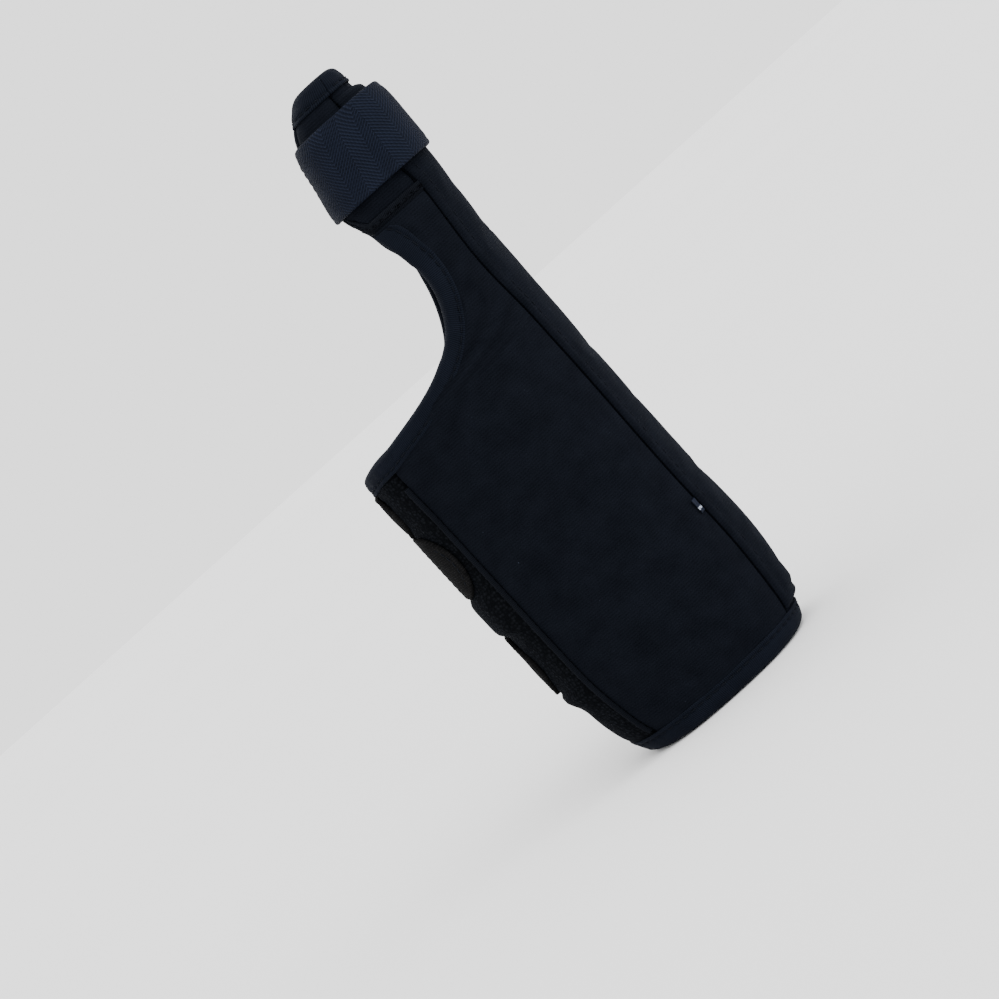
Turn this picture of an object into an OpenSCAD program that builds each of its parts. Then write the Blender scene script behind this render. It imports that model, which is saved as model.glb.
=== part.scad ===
// Wrist and thumb splint for the right hand. A padded sleeve wraps the forearm and carries on as
// a tube round the thumb. It opens along a split on the back of the arm, closed by three straps,
// and along a flap on the palm side of the thumb, closed by a fourth strap.
// The splint stands on its forearm rim at z = 0. +Z runs along the arm to the thumb tip,
// -Y is the palm side, +Y the back of the hand, and +X the thumb side.
// Every cloth piece is a stretch of one smooth sleeve surface: a place on it is a height z, an
// angle t round the sleeve (0 at the thumb side, 90 at the back, 180 at the little finger side,
// -90 at the palm side) and a depth d under the surface, negative when it stands proud.

/* [Sleeve] */
// Depth of the sleeve at the wrist, from palm side to back
wrist_depth = 52; // [50:0.5:54]
// Squareness of the cross-section, where 2 is an ellipse
squareness = 2.4; // [2.2:0.1:2.6]
// Thickness of the outer panels
panel_t = 2.6; // [2:0.2:3]
// Thickness of the lining
lining_t = 0.8; // [0.6:0.1:1]
// Width of the binding tape on each face
tape_w = 6; // [4:0.5:7]
// Thickness of the binding tape
tape_t = 0.5; // [0.4:0.1:0.6]

/* [Straps] */
// Width of the forearm, middle and thumb straps
strap_w = 25; // [22:1:26]
// Width of the wrist strap
wrist_strap_w = 17; // [15:0.5:17]
// Thickness of the strap webbing
strap_t = 1.8; // [1.4:0.1:2]
// Thickness of the hook tabs
tab_t = 1.4; // [1:0.1:1.8]
// Height of the middle of the forearm strap
forearm_strap_z = 44.5; // [42:0.5:48]
// Height of the middle of the middle strap
middle_strap_z = 86; // [84:0.5:86]
// Height of the middle of the wrist strap
wrist_strap_z = 107.3; // [107.1:0.1:107.3]
// Height of the middle of the thumb strap
thumb_strap_z = 198; // [197:0.5:198.5]

/* [Stays] */
// Width of the palm and back stays
stay_w = 18; // [15:1:18]
// Length of the palm and back stays
stay_len = 105; // [90:1:108]
// Thickness of the palm and back stays
stay_t = 1.5; // [1:0.1:1.6]

/* [Hidden] */

CLOTH = "#161920";
MESH_CLOTH = "#0f1116";
TAPE = "#222938";
LINING = "#2b3040";
WEBBING = "#20242e";
KNIT = "#2c3446";
HOOK = "#48484a";
METAL = "#b8bcc2";

// The sleeve surface: [height, place] rows for its four sides, x left and right, y front and back
LEFT = [
    [0, -29.3], [4, -31.6], [10, -34.8], [20, -37.4], [32, -39.2], [48, -39.7], [75, -40],
    [100, -40.3], [112, -40.8], [122, -40.4], [135, -34], [150, -20], [163, -6], [172, 2.5],
    [179, 6.6], [187, 7.2], [198, 9.2], [208, 11], [213, 13.4], [217.5, 16.2], [220.5, 18.9],
    [222.5, 20.6]
];
RIGHT = [
    [0, 31], [4, 32.6], [10, 34.4], [20, 35.5], [35, 36.2], [60, 35.5], [80, 35.3], [120, 35.5],
    [150, 35.8], [170, 36.6], [182, 37.9], [195, 38.3], [205, 38.8], [210, 38], [214, 36.8],
    [218, 36], [222.5, 35]
];
FRONT = [
    [0, -25], [12, -26], [60, -27], [100, -27.3], [125, -27.3], [150, -26.5], [165, -24.5],
    [178, -21.5], [190, -20], [205, -19], [212, -17.5], [218, -15.5], [222.5, -13.5]
];
BACK = [
    [0, 21], [12, 22], [60, 24], [100, 24.7], [125, 24.3], [150, 20], [165, 16], [178, 13],
    [190, 12], [205, 11], [212, 9.5], [218, 7.5], [222.5, 5.5]
];
depth_scale = wrist_depth / 52;

// Edge of the palm opening on the palm side, as [height, x]
PALM = [
    [122.3, -40.3], [125.3, -28.3], [128.8, -13.3], [132.3, -3.3], [138.3, 6.7], [147, 12.7],
    [155, 14.7], [162, 14.2], [171.5, 11.7], [175.4, 10.6]
];
// Angles of the two edges of the closing split on the back
split_dorsal = 126;
split_ulnar = 144;
// Angle of the thumb tube's free edge, where the thumb flap meets it
tube_edge = 190;
// Edge of the closing split and then of the hand opening on the back, as [height, angle]
BACK_EDGE = [
    [0, split_dorsal], [117, split_dorsal], [119, split_dorsal], [121, 119], [124, 104], [128, 93],
    [132, 87], [138, 82], [147, 80.5], [155, 83], [165, 92], [172, 112], [178, 133], [182, 160],
    [186, 184], [190, tube_edge], [223, tube_edge]
];
// Seam between the palm side and the thumb side, as [height, angle]
SEAM = [
    [0, -35], [60, -33], [125, -33], [150, -43], [172, -52], [185, -62], [200, -72], [215, -76],
    [223, -76]
];
// How far the thumb side cover is stuffed out, as [height, share]
STUFFING = [[9, 1], [165, 1], [185, 0.8], [205, 0.75], [216, 0.4]];

// Gap between sewn layers
sew_gap = 0.3;
// Slack inside the tape's fold, over the cloth and under it
fold_out = 0.4;
fold_in = 0.8;
rim = tape_t + 0.4;
cloth_end = 222.5 - rim;
cuff_bottom = 176.2;
trough_bottom = 165.3;
piping_angle = -138;
side_seam = 48;
ulnar_top = 122;
// Gap in degrees between a panel's edge and a seam or a binding's fold
seam_gap = 0.4;
lining_out = panel_t + sew_gap;
lining_in = lining_out + lining_t;

// Row of a table that holds the stretch round z
function row_of(table, z, i = 0) =
    (i >= len(table) - 2 || z < table[i + 1][0]) ? i : row_of(table, z, i + 1);
// Slope of a table's curve at row i
function slope(table, i) =
    let (a = max(i - 1, 0), b = min(i + 1, len(table) - 1))
    (table[b][1] - table[a][1]) / (table[b][0] - table[a][0]);
// Value at z of the smooth curve through a table's rows
function smooth(table, z) =
    let (i = row_of(table, z), h = table[i + 1][0] - table[i][0])
    let (s = min(max((z - table[i][0]) / h, 0), 1), r = 1 - s)
    (1 + 2 * s) * r * r * table[i][1] + s * r * r * h * slope(table, i)
    + s * s * (3 - 2 * s) * table[i + 1][1] - s * s * r * h * slope(table, i + 1);

function signed_pow(v, e) = sign(v) * pow(abs(v), e);
// The point at height z, angle t and depth d
function place(z, t, d) =
    let (l = smooth(LEFT, z), r = smooth(RIGHT, z))
    let (f = depth_scale * smooth(FRONT, z), b = depth_scale * smooth(BACK, z))
    [
        (l + r) / 2 + ((r - l) / 2 - d) * signed_pow(cos(t), 2 / squareness),
        (f + b) / 2 + ((b - f) / 2 - d) * signed_pow(sin(t), 2 / squareness),
        z
    ];
// Angle on the palm side at which the surface has the given x
function palm_angle(z, x) =
    let (l = smooth(LEFT, z), r = smooth(RIGHT, z))
    -acos(signed_pow(min(max((2 * x - l - r) / (r - l), -1), 1), squareness / 2));
// Angle of the palm side's free edge: the piping, and above it the palm opening
function palm_edge(z) =
    z < PALM[0][0] ? piping_angle : max(piping_angle, palm_angle(z, smooth(PALM, z)));

function constant(d) = function (z, t, s) d;
function grid(rows, n, depth) = [
    for (row = rows) for (i = [0 : n])
        let (s = i / n, t = row[1] + (row[2] - row[1]) * s)
        place(row[0], t, depth(row[0], t, s))
];

// Closed shell over rows of [height, first angle, last angle], both rising, n steps wide,
// between the depths that the functions outer and inner give
module shell(rows, n, outer, inner) {
    m = n + 1;
    last = len(rows) - 1;
    all = m * len(rows);
    polyhedron(
        points = concat(grid(rows, n, outer), grid(rows, n, inner)),
        faces = concat(
            [for (k = [0 : last - 1]) for (i = [0 : n - 1])
                each quad(k * m + i, (k + 1) * m + i, (k + 1) * m + i + 1, k * m + i + 1)],
            [for (k = [0 : last - 1]) for (i = [0 : n - 1])
                each quad(all + k * m + i + 1, all + (k + 1) * m + i + 1,
                    all + (k + 1) * m + i, all + k * m + i)],
            [for (i = [0 : n - 1]) each quad(i, i + 1, all + i + 1, all + i)],
            [for (i = [last * m : last * m + n - 1]) each quad(i + 1, i, all + i, all + i + 1)],
            [for (k = [0 : m : (last - 1) * m]) each quad(k + m, k, all + k, all + k + m)],
            [for (k = [n : m : n + (last - 1) * m]) each quad(k, k + m, all + k + m, all + k)]
        )
    );
}
function quad(a, b, c, d) = [[a, b, c], [a, c, d]];

// Rows of a piece between two edge functions of the height
function rows_between(heights, first, last) = [for (z = heights) [z, first(z), last(z)]];
module cloth(rows, n) {
    shell(rows, n, constant(0), constant(panel_t));
}
module lining_of(rows, n) {
    shell(rows, n, constant(lining_out), constant(lining_in));
}

// Tape folded over an edge. path holds [height, angle] places along the edge, and the cloth
// lies to the left of the path, seen from outside. inner is the depth of the cloth's inside.
module tape(path, inner) {
    section = [
        [tape_w, -fold_out - tape_t], [-rim, -fold_out - tape_t], [-rim, inner + fold_in + tape_t],
        [tape_w, inner + fold_in + tape_t], [tape_w, inner + fold_in], [tape_t - rim, inner + fold_in],
        [tape_t - rim, -fold_out], [tape_w, -fold_out]
    ];
    n = len(path) - 1;
    k = len(section);
    rings = [for (i = [0 : n]) each ring(path, i, section)];
    polyhedron(
        points = rings,
        faces = concat(
            [for (i = [0 : n - 1]) for (j = [0 : k - 1])
                each quad(i * k + j, (i + 1) * k + j, (i + 1) * k + (j + 1) % k, i * k + (j + 1) % k)],
            [for (j = [0 : 2]) each quad(j, j + 1, k - 2 - j, k - 1 - j)],
            [for (j = [0 : 2]) each quad(n * k + k - 1 - j, n * k + k - 2 - j, n * k + j + 1, n * k + j)]
        )
    );
}
function ring(path, i, section) =
    let (z = path[i][0], t = path[i][1])
    let (ahead = path[min(i + 1, len(path) - 1)], behind = path[max(i - 1, 0)])
    let (run = place(ahead[0], ahead[1], 0) - place(behind[0], behind[1], 0))
    let (across = (place(z, t + 1, 0) - place(z, t - 1, 0)) / 2)
    let (along = [run * across / norm(across), run[2]])
    let (into = [-along[1], along[0]] / norm(along))
    [for (p = section)
        place(z + p[0] * into[1], t + p[0] * into[0] / norm(across), p[1])];

// --- Panels ---

palm_heights = [rim, 12, 24, 36, 48, 62, 76, 90, 104, 115, 121, 124.7, 126.5, 129.5, 133, 137.5, 143,
    149, 156, 163, 168, 171.5, cuff_bottom - 0.8];
volar_rows = rows_between(palm_heights,
    function (z) palm_edge(z) + seam_gap,
    function (z) smooth(SEAM, z) - 1.5 * seam_gap);
module volar_panel() {
    color(CLOTH) cloth(volar_rows, 11);
}

side_heights = [rim, 12, 24, 36, 48, 62, 76, 90, 104, 118, 131, 143, 154, trough_bottom - 0.4];
radial_rows = rows_between(side_heights,
    function (z) smooth(SEAM, z) + seam_gap,
    function (z) side_seam - seam_gap);
module radial_panel() {
    color(CLOTH) cloth(radial_rows, 9);
}

cover_heights = [9, 12, 20, 35, 50, 65, 80, 95, 110, 125, 138, 150, 160, 170, 178, 185, 192, 198, 204,
    209, 213.5];
cover_rows = rows_between(cover_heights,
    function (z) smooth(SEAM, z) + 2 * seam_gap,
    function (z) side_seam - 5 * seam_gap);
// Share of the full stuffing at height z and share s of the way across
function stuffed(z, s) = smooth(STUFFING, z) * pow(sin(4 + 172 * s), 0.6);
module radial_cover() {
    color(CLOTH) shell(cover_rows, 9,
        function (z, t, s) -0.8 - 2.4 * stuffed(z, s),
        function (z, t, s) -0.2 - 1.2 * stuffed(z, s));
}

back_heights = [rim, 12, 24, 36, 48, 62, 76, 90, 104, 118, 121, 124, 128, 133, 141, 149, 157,
    trough_bottom - 0.4];
dorsal_rows = rows_between(back_heights,
    function (z) side_seam + seam_gap / 2,
    function (z) smooth(BACK_EDGE, z));
module dorsal_panel() {
    color(CLOTH) cloth(dorsal_rows, 13);
}

ulnar_heights = [rim, 6, 12, 24, 36, 48, 62, 76, 90, 104, 113, ulnar_top];
ulnar_rows = rows_between(ulnar_heights,
    function (z) split_ulnar,
    function (z) 360 + piping_angle - seam_gap);
module ulnar_panel() {
    color(MESH_CLOTH) cloth(ulnar_rows, 13);
}

trough_heights = [trough_bottom, 170, 175, 179, 182, 185, 189, 194, 199, 204, 209, 213, 217, cloth_end];
trough_rows = rows_between(trough_heights,
    function (z) smooth(SEAM, z) + seam_gap,
    function (z) smooth(BACK_EDGE, z));
module thumb_trough() {
    color(CLOTH) cloth(trough_rows, 16);
}

lining_bottom = 1.6;
lining_top = 214;
function above_rim(rows) = [for (row = rows) [max(row[0], lining_bottom), row[1], row[2]]];
module lining() {
    color(LINING) {
        lining_of(above_rim(volar_rows), 8);
        lining_of(above_rim(radial_rows), 6);
        lining_of(above_rim(dorsal_rows), 9);
        lining_of(above_rim(ulnar_rows), 9);
        lining_of([for (row = trough_rows) if (row[0] < lining_top) row], 11);
    }
}

// --- Bindings ---

module forearm_binding() {
    color(TAPE) tape([for (t = [split_ulnar - 360 : 6 : split_dorsal]) [rim, t]], lining_in);
}
module palm_binding() {
    curve = [for (i = [len(palm_heights) - 2 : -1 : 0]) if (palm_heights[i] > ulnar_top)
        [palm_heights[i], palm_edge(palm_heights[i])]];
    over_ulnar = [for (t = [360 + piping_angle - 6 : -6 : split_ulnar + 6]) [ulnar_top, t - 360]];
    color(TAPE) tape(concat(curve, over_ulnar), lining_in);
}
module dorsal_hand_binding() {
    heights = [119.5, 121, 124, 128, 133, 141, 149, 157, 164, 170, 175, 179];
    color(TAPE) tape([for (z = heights) [z, smooth(BACK_EDGE, z)]], lining_in);
}
module closure_binding_dorsal() {
    color(TAPE) tape([for (z = [8 : 8 : 112]) [z, split_dorsal]], lining_in);
}
module closure_binding_ulnar() {
    color(TAPE) tape([for (z = [112 : -8 : 8]) [z, split_ulnar]], lining_in);
}
module thumb_tip_binding() {
    last = smooth(SEAM, cloth_end) + 1;
    color(TAPE) tape([for (i = [0 : 24]) [cloth_end, tube_edge + (last - tube_edge) * i / 24]], panel_t);
}

// --- Thumb cuff ---

cuff_heights = [cuff_bottom + rim, 181, 186, 192, 198, 204, 209, 213, 217, cloth_end];
cuff_end = -166;
cuff_rows = rows_between(cuff_heights,
    function (z) cuff_end,
    function (z) smooth(SEAM, z) - 1.5 * seam_gap);
module thumb_cuff() {
    color(CLOTH) cloth(cuff_rows, 12);
}
module thumb_cuff_binding() {
    bottom = cuff_bottom + rim;
    low_last = smooth(SEAM, bottom) - 7;
    top_last = smooth(SEAM, cloth_end) - 5;
    color(TAPE) {
        tape([for (i = [0 : 12]) [bottom, cuff_end + (low_last - cuff_end) * i / 12]], panel_t);
        tape([for (i = [12 : -1 : 0]) [cloth_end, cuff_end + (top_last - cuff_end) * i / 12]], panel_t);
    }
}

// --- Stays ---

stay_bottom = 12;
sleeve_t = 0.7;
hem = 1.5;
volar_stay_x = -6;
dorsal_stay_x = 2;
// The flat pockets sit inside the lining, which curves in by 1 to 2 mm at their edges
pocket_depth = lining_in + sew_gap + sleeve_t + 0.2 + stay_t / 2;
volar_stay_y = depth_scale * -24 + pocket_depth;
dorsal_stay_y = depth_scale * 21 - pocket_depth;
// Flat metal strip with round ends, standing on its lower end
module stay() {
    r = stay_w / 2;
    color(METAL) translate([0, stay_t / 2, 0]) rotate([90, 0, 0]) linear_extrude(stay_t) {
        translate([-r, r]) square([stay_w, stay_len - stay_w]);
        translate([0, r]) circle(r, $fn = 64);
        translate([0, stay_len - r]) circle(r, $fn = 64);
    }
}
// Sleeve of cloth round a stay, open at the top
module pocket() {
    room = [stay_w + 1, stay_t + 0.4, stay_len + 1];
    color(LINING) difference() {
        translate([-room[0] / 2 - hem, -room[1] / 2 - sleeve_t, -sleeve_t])
            cube([room[0] + 2 * hem, room[1] + 2 * sleeve_t, room[2] + sleeve_t]);
        translate([-room[0] / 2, -room[1] / 2, 0]) cube(room + [0, 0, 1]);
    }
}
module volar_stay() {
    translate([volar_stay_x, volar_stay_y, stay_bottom]) stay();
}
module volar_stay_pocket() {
    translate([volar_stay_x, volar_stay_y, stay_bottom]) pocket();
}
module dorsal_stay() {
    translate([dorsal_stay_x, dorsal_stay_y, stay_bottom]) stay();
}
module dorsal_stay_pocket() {
    translate([dorsal_stay_x, dorsal_stay_y, stay_bottom]) pocket();
}
module thumb_stay() {
    heights = [16, 30, 45, 60, 80, 100, 120, 135, 150, 162, 172, 181, 190, 198, 205];
    middle = function (z) (smooth(SEAM, z) + side_seam) / 2;
    half = 12;
    color(METAL) shell(
        rows_between(heights, function (z) middle(z) - half, function (z) middle(z) + half), 6,
        constant(-0.85), constant(-0.25));
}

// --- Trim ---

module ulnar_piping() {
    heights = [for (z = [8 : 10.5 : 113]) z];
    half = 1.5;
    color(TAPE) shell(
        rows_between(heights, function (z) piping_angle - half, function (z) piping_angle + half), 2,
        constant(-0.9), constant(-0.2));
}
module care_label() {
    color(TAPE) shell(
        rows_between([47.5, 52.5], function (z) smooth(SEAM, z) - 6, function (z) smooth(SEAM, z) - 1), 2,
        constant(-0.8), constant(-0.3));
}

// --- Straps ---

// Angles at which a strap turns as it is lifted, and as its end is peeled
lift_angle = 66;
peel_angle = 156;
// Half the gap, in degrees, between two lengths of one strap
joint_gap = 0.5;
// Angles at which the webbing ends and at which its hook tab ends
webbing_end = 168;
tab_end = 196;
middle_webbing_end = 178;
middle_tab_end = 214;
// Height of the straps over the sleeve surface, as [angle, height]: they rise over the bindings
// on both sides of the split
over_tape = fold_out + tape_t + 0.4;
RIDE = [[48, 0.3], [90, 0.3], [112, over_tape], [158, over_tape], [170, 0.45], [222, 0.45]];
function ride(t) = smooth(RIDE, t);
// Length of strap for each degree round the little finger side
arc_per_degree = 0.52;

// Straight stretch of a strap round the sleeve, w wide at height z, between two angles
module strap_stretch(z, w, first, last) {
    color(WEBBING) shell([for (h = [z - w / 2, z, z + w / 2]) [h, first, last]],
        ceil((last - first) / 5),
        function (z, t, s) -ride(t) - strap_t,
        function (z, t, s) -ride(t));
}
// A tab's end is a round of these angles, so that its corners stay a little square
tab_corner = 78;
TAB_ROUND = [-tab_corner, -60, -40, -20, 0, 20, 40, 60, tab_corner];
// Hook tab with a round end
module hook_tab(z, w, webbing_end, last) {
    half = w / 2 - 0.5;
    rows = [for (a = TAB_ROUND)
        [z + half * sin(a) / sin(tab_corner), webbing_end + joint_gap,
            last - (1 - cos(a)) * half / arc_per_degree]];
    color(HOOK) shell(rows, ceil((last - webbing_end) / 5),
        function (z, t, s) -ride(t) - tab_t,
        function (z, t, s) -ride(t));
}
module strap_anchor(z, w) {
    strap_stretch(z, w, side_seam + 3, lift_angle - joint_gap);
}
module strap_span(z, w) {
    strap_stretch(z, w, lift_angle + joint_gap, peel_angle - joint_gap);
}

module forearm_strap_anchor() {
    strap_anchor(forearm_strap_z, strap_w);
}
module forearm_strap() {
    strap_span(forearm_strap_z, strap_w);
}
module forearm_strap_end() {
    strap_stretch(forearm_strap_z, strap_w, peel_angle + joint_gap, webbing_end);
}
module forearm_hook_tab() {
    hook_tab(forearm_strap_z, strap_w, webbing_end, tab_end);
}
module middle_strap_anchor() {
    strap_anchor(middle_strap_z, strap_w);
}
module middle_strap() {
    strap_span(middle_strap_z, strap_w);
}
module middle_strap_end() {
    strap_stretch(middle_strap_z, strap_w, peel_angle + joint_gap, middle_webbing_end);
}
module middle_hook_tab() {
    hook_tab(middle_strap_z, strap_w, middle_webbing_end, middle_tab_end);
}
module wrist_strap_anchor() {
    strap_anchor(wrist_strap_z, wrist_strap_w);
}
module wrist_strap() {
    strap_span(wrist_strap_z, wrist_strap_w);
}
module wrist_strap_end() {
    strap_stretch(wrist_strap_z, wrist_strap_w, peel_angle + joint_gap, webbing_end);
}
module wrist_hook_tab() {
    hook_tab(wrist_strap_z, wrist_strap_w, webbing_end, tab_end);
}

// --- Thumb strap ---

// Angles of the thumb strap: its sewn end, its two turns, and the ends of its knit and hook tab
thumb_anchor_end = 70;
thumb_lift_angle = 6;
thumb_peel_angle = -152;
thumb_knit_end = -192;
thumb_tab_end = -226;
// Height of the thumb strap over the sleeve surface: it runs up over the thumb side cover
function thumb_ride(t) =
    let (first = smooth(SEAM, thumb_strap_z) - 8, last = side_seam + 6)
    let (s = min(max((t - first) / (last - first), 0), 1))
    0.4 + 2.9 * pow(sin(180 * s), 0.5);
module thumb_stretch(last, first) {
    color(KNIT) shell(
        [for (h = [-1 : 0.5 : 1]) [thumb_strap_z + h * strap_w / 2, first, last]],
        ceil((last - first) / 7),
        function (z, t, s) -thumb_ride(t) - strap_t,
        function (z, t, s) -thumb_ride(t));
}
module thumb_strap_anchor() {
    thumb_stretch(thumb_anchor_end, thumb_lift_angle + joint_gap);
}
module thumb_strap() {
    thumb_stretch(thumb_lift_angle - joint_gap, thumb_peel_angle + joint_gap);
}
module thumb_strap_end() {
    thumb_stretch(thumb_peel_angle - joint_gap, thumb_knit_end);
}
module thumb_hook_tab() {
    half = strap_w / 2 - 0.5;
    round_depth = 24;
    rows = [for (a = TAB_ROUND)
        [thumb_strap_z + half * sin(a) / sin(tab_corner), thumb_tab_end + (1 - cos(a)) * round_depth,
            thumb_knit_end - joint_gap]];
    color(HOOK) shell(rows, 6,
        function (z, t, s) -thumb_ride(t) - tab_t,
        function (z, t, s) -thumb_ride(t));
}

volar_panel();
radial_panel();
radial_cover();
dorsal_panel();
ulnar_panel();
thumb_trough();
lining();
forearm_binding();
palm_binding();
dorsal_hand_binding();
closure_binding_dorsal();
closure_binding_ulnar();
thumb_tip_binding();
thumb_cuff();
thumb_cuff_binding();
volar_stay();
volar_stay_pocket();
dorsal_stay();
dorsal_stay_pocket();
thumb_stay();
ulnar_piping();
care_label();
forearm_strap_anchor();
forearm_strap();
forearm_strap_end();
forearm_hook_tab();
middle_strap_anchor();
middle_strap();
middle_strap_end();
middle_hook_tab();
wrist_strap_anchor();
wrist_strap();
wrist_strap_end();
wrist_hook_tab();
thumb_strap_anchor();
thumb_strap();
thumb_strap_end();
thumb_hook_tab();
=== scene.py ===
import math

import bpy
import numpy as np
from mathutils import Matrix, Vector


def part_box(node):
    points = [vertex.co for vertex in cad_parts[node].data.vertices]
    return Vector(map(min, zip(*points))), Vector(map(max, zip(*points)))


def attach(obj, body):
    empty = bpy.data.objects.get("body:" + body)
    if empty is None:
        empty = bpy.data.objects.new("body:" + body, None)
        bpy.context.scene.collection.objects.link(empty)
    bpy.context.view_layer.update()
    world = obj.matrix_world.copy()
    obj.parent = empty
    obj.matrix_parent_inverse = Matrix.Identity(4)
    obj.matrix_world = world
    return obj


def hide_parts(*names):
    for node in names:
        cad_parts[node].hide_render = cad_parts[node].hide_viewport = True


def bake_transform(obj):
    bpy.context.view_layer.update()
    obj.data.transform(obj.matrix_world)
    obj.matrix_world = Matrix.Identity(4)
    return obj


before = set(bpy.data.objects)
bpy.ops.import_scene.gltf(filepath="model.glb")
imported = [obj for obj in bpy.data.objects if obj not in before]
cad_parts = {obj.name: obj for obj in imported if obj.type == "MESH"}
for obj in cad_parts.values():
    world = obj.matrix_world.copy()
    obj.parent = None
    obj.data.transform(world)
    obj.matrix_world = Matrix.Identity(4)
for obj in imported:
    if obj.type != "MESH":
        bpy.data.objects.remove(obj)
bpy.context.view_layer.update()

# Wrist and thumb splint: a padded sleeve of sewn panels with bound edges, three arm straps, a
# thumb strap over a flap, and metal stays in pockets. Lengths are millimetres until a mesh is
# made. Every cloth piece lies on one smooth sleeve: a place on it is a height z, an angle t round
# the sleeve (0 thumb side, 90 back, 180 little finger side, -90 palm) and a depth d under it.

MM = 0.001
SQUARENESS = 2.4

# Cloth, tape and webbing
PANEL_T = 2.6
LINING_T = 0.8
TAPE_W = 6.0
TAPE_T = 0.5
TAPE_STEP = 0.75
STRAP_T = 1.8
TAB_T = 1.4
SEW_GAP = 0.3
FOLD_OUT = 0.4
FOLD_IN = 0.8
STITCH_INSET = 1.5
RIM = TAPE_T + 0.4
LINING_OUT = PANEL_T + SEW_GAP
LINING_IN = LINING_OUT + LINING_T

# Angles of seams, edges and hinges
SPLIT_DORSAL = 126
SPLIT_ULNAR = 144
TUBE_EDGE = 190
PIPING = -138
SIDE_SEAM = 48
COVER_EDGE = SIDE_SEAM - 2
CUFF_EDGE = -166
LIFT_ANGLE = 66
PEEL_ANGLE = 156
ARC_PER_DEGREE = 0.52

# Heights of edges
ULNAR_TOP = 122
CUFF_BOTTOM = 176.2
TROUGH_BOTTOM = 165.3
CLOTH_END = 221.6
COVER_BOTTOM = 7.8
COVER_TOP = 213.5

# The sleeve's four sides, as [height, place] rows: x left and right, y front and back
LEFT = [
    [0, -29.3], [4, -31.6], [10, -34.8], [20, -37.4], [32, -39.2], [48, -39.7], [75, -40],
    [100, -40.3], [112, -40.8], [122, -40.4], [135, -34], [150, -20], [163, -6], [172, 2.5],
    [179, 6.6], [187, 7.2], [198, 9.2], [208, 11], [213, 13.4], [217.5, 16.2], [220.5, 18.9],
    [222.5, 20.6],
]
RIGHT = [
    [0, 31], [4, 32.6], [10, 34.4], [20, 35.5], [35, 36.2], [60, 35.5], [80, 35.3], [120, 35.5],
    [150, 35.8], [170, 36.6], [182, 37.9], [195, 38.3], [205, 38.8], [210, 38], [214, 36.8],
    [218, 36], [222.5, 35],
]
FRONT = [
    [0, -25], [12, -26], [60, -27], [100, -27.3], [125, -27.3], [150, -26.5], [165, -24.5],
    [178, -21.5], [190, -20], [205, -19], [212, -17.5], [218, -15.5], [222.5, -13.5],
]
BACK = [
    [0, 21], [12, 22], [60, 24], [100, 24.7], [125, 24.3], [150, 20], [165, 16], [178, 13],
    [190, 12], [205, 11], [212, 9.5], [218, 7.5], [222.5, 5.5],
]
# Edge of the palm opening, as [height, x]
PALM = [
    [122.3, -40.3], [125.3, -28.3], [128.8, -13.3], [132.3, -3.3], [138.3, 6.7], [147, 12.7],
    [155, 14.7], [162, 14.2], [171.5, 11.7], [175.4, 10.6],
]
# Edge of the closing split and of the hand opening on the back, as [height, angle]
BACK_EDGE = [
    [0, SPLIT_DORSAL], [117, SPLIT_DORSAL], [119, SPLIT_DORSAL], [121, 119], [124, 104],
    [128, 93], [132, 87], [138, 82], [147, 80.5], [155, 83], [165, 92], [172, 112], [178, 133],
    [182, 160], [186, 184], [190, TUBE_EDGE], [223, TUBE_EDGE],
]
# Seam between the palm side and the thumb side, as [height, angle]
SEAM = [
    [0, -35], [60, -33], [125, -33], [150, -43], [172, -52], [185, -62], [200, -72], [215, -76],
    [223, -76],
]
# How far the thumb side cover is stuffed out, as [height, share]
STUFFING = [[9, 1], [165, 1], [185, 0.8], [205, 0.75], [216, 0.4]]
# Height of the arm straps over the sleeve, as [angle, height]
RIDE = [[48, 0.3], [90, 0.3], [112, 1.3], [158, 1.3], [170, 0.45], [222, 0.45]]


def smooth(table, x):
    """Value at x of the smooth curve through a table's rows."""
    at, value = np.asarray(table, float).T
    here = np.arange(len(at))
    behind, ahead = np.maximum(here - 1, 0), np.minimum(here + 1, len(at) - 1)
    slope = (value[ahead] - value[behind]) / (at[ahead] - at[behind])
    x = np.asarray(x, float)
    i = np.clip(np.searchsorted(at, x, side="right") - 1, 0, len(at) - 2)
    h = at[i + 1] - at[i]
    s = np.clip((x - at[i]) / h, 0, 1)
    r = 1 - s
    return (
        (1 + 2 * s) * r * r * value[i] + s * r * r * h * slope[i]
        + s * s * (3 - 2 * s) * value[i + 1] - s * s * r * h * slope[i + 1]
    )


def signed_power(value, exponent):
    return np.sign(value) * np.abs(value) ** exponent


def sleeve(z, t, d=0.0):
    """Points at heights z, angles t and depths d, with x, y and z on the last axis."""
    z, t, d = np.broadcast_arrays(np.asarray(z, float), t, d)
    left, right, front, back = (smooth(table, z) for table in (LEFT, RIGHT, FRONT, BACK))
    angle = np.radians(t)
    x = (left + right) / 2 + ((right - left) / 2 - d) * signed_power(np.cos(angle), 2 / SQUARENESS)
    y = (front + back) / 2 + ((back - front) / 2 - d) * signed_power(np.sin(angle), 2 / SQUARENESS)
    return np.stack([x, y, z], -1)


def palm_edge(z):
    """Angle of the palm side's free edge: the piping, and above it the palm opening."""
    left, right = smooth(LEFT, z), smooth(RIGHT, z)
    share = np.clip((2 * smooth(PALM, z) - left - right) / (right - left), -1, 1)
    angle = -np.degrees(np.arccos(signed_power(share, SQUARENESS / 2)))
    return np.where(np.asarray(z) < PALM[0][0], PIPING, np.maximum(PIPING, angle))


def seam_edge(z):
    return smooth(SEAM, z)


def back_edge(z):
    return smooth(BACK_EDGE, z)


def fixed(angle):
    """Edge function of a straight edge."""
    return lambda z: np.full(np.shape(z), float(angle))


def shifted(edge, degrees):
    return lambda z: edge(z) + degrees


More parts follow.
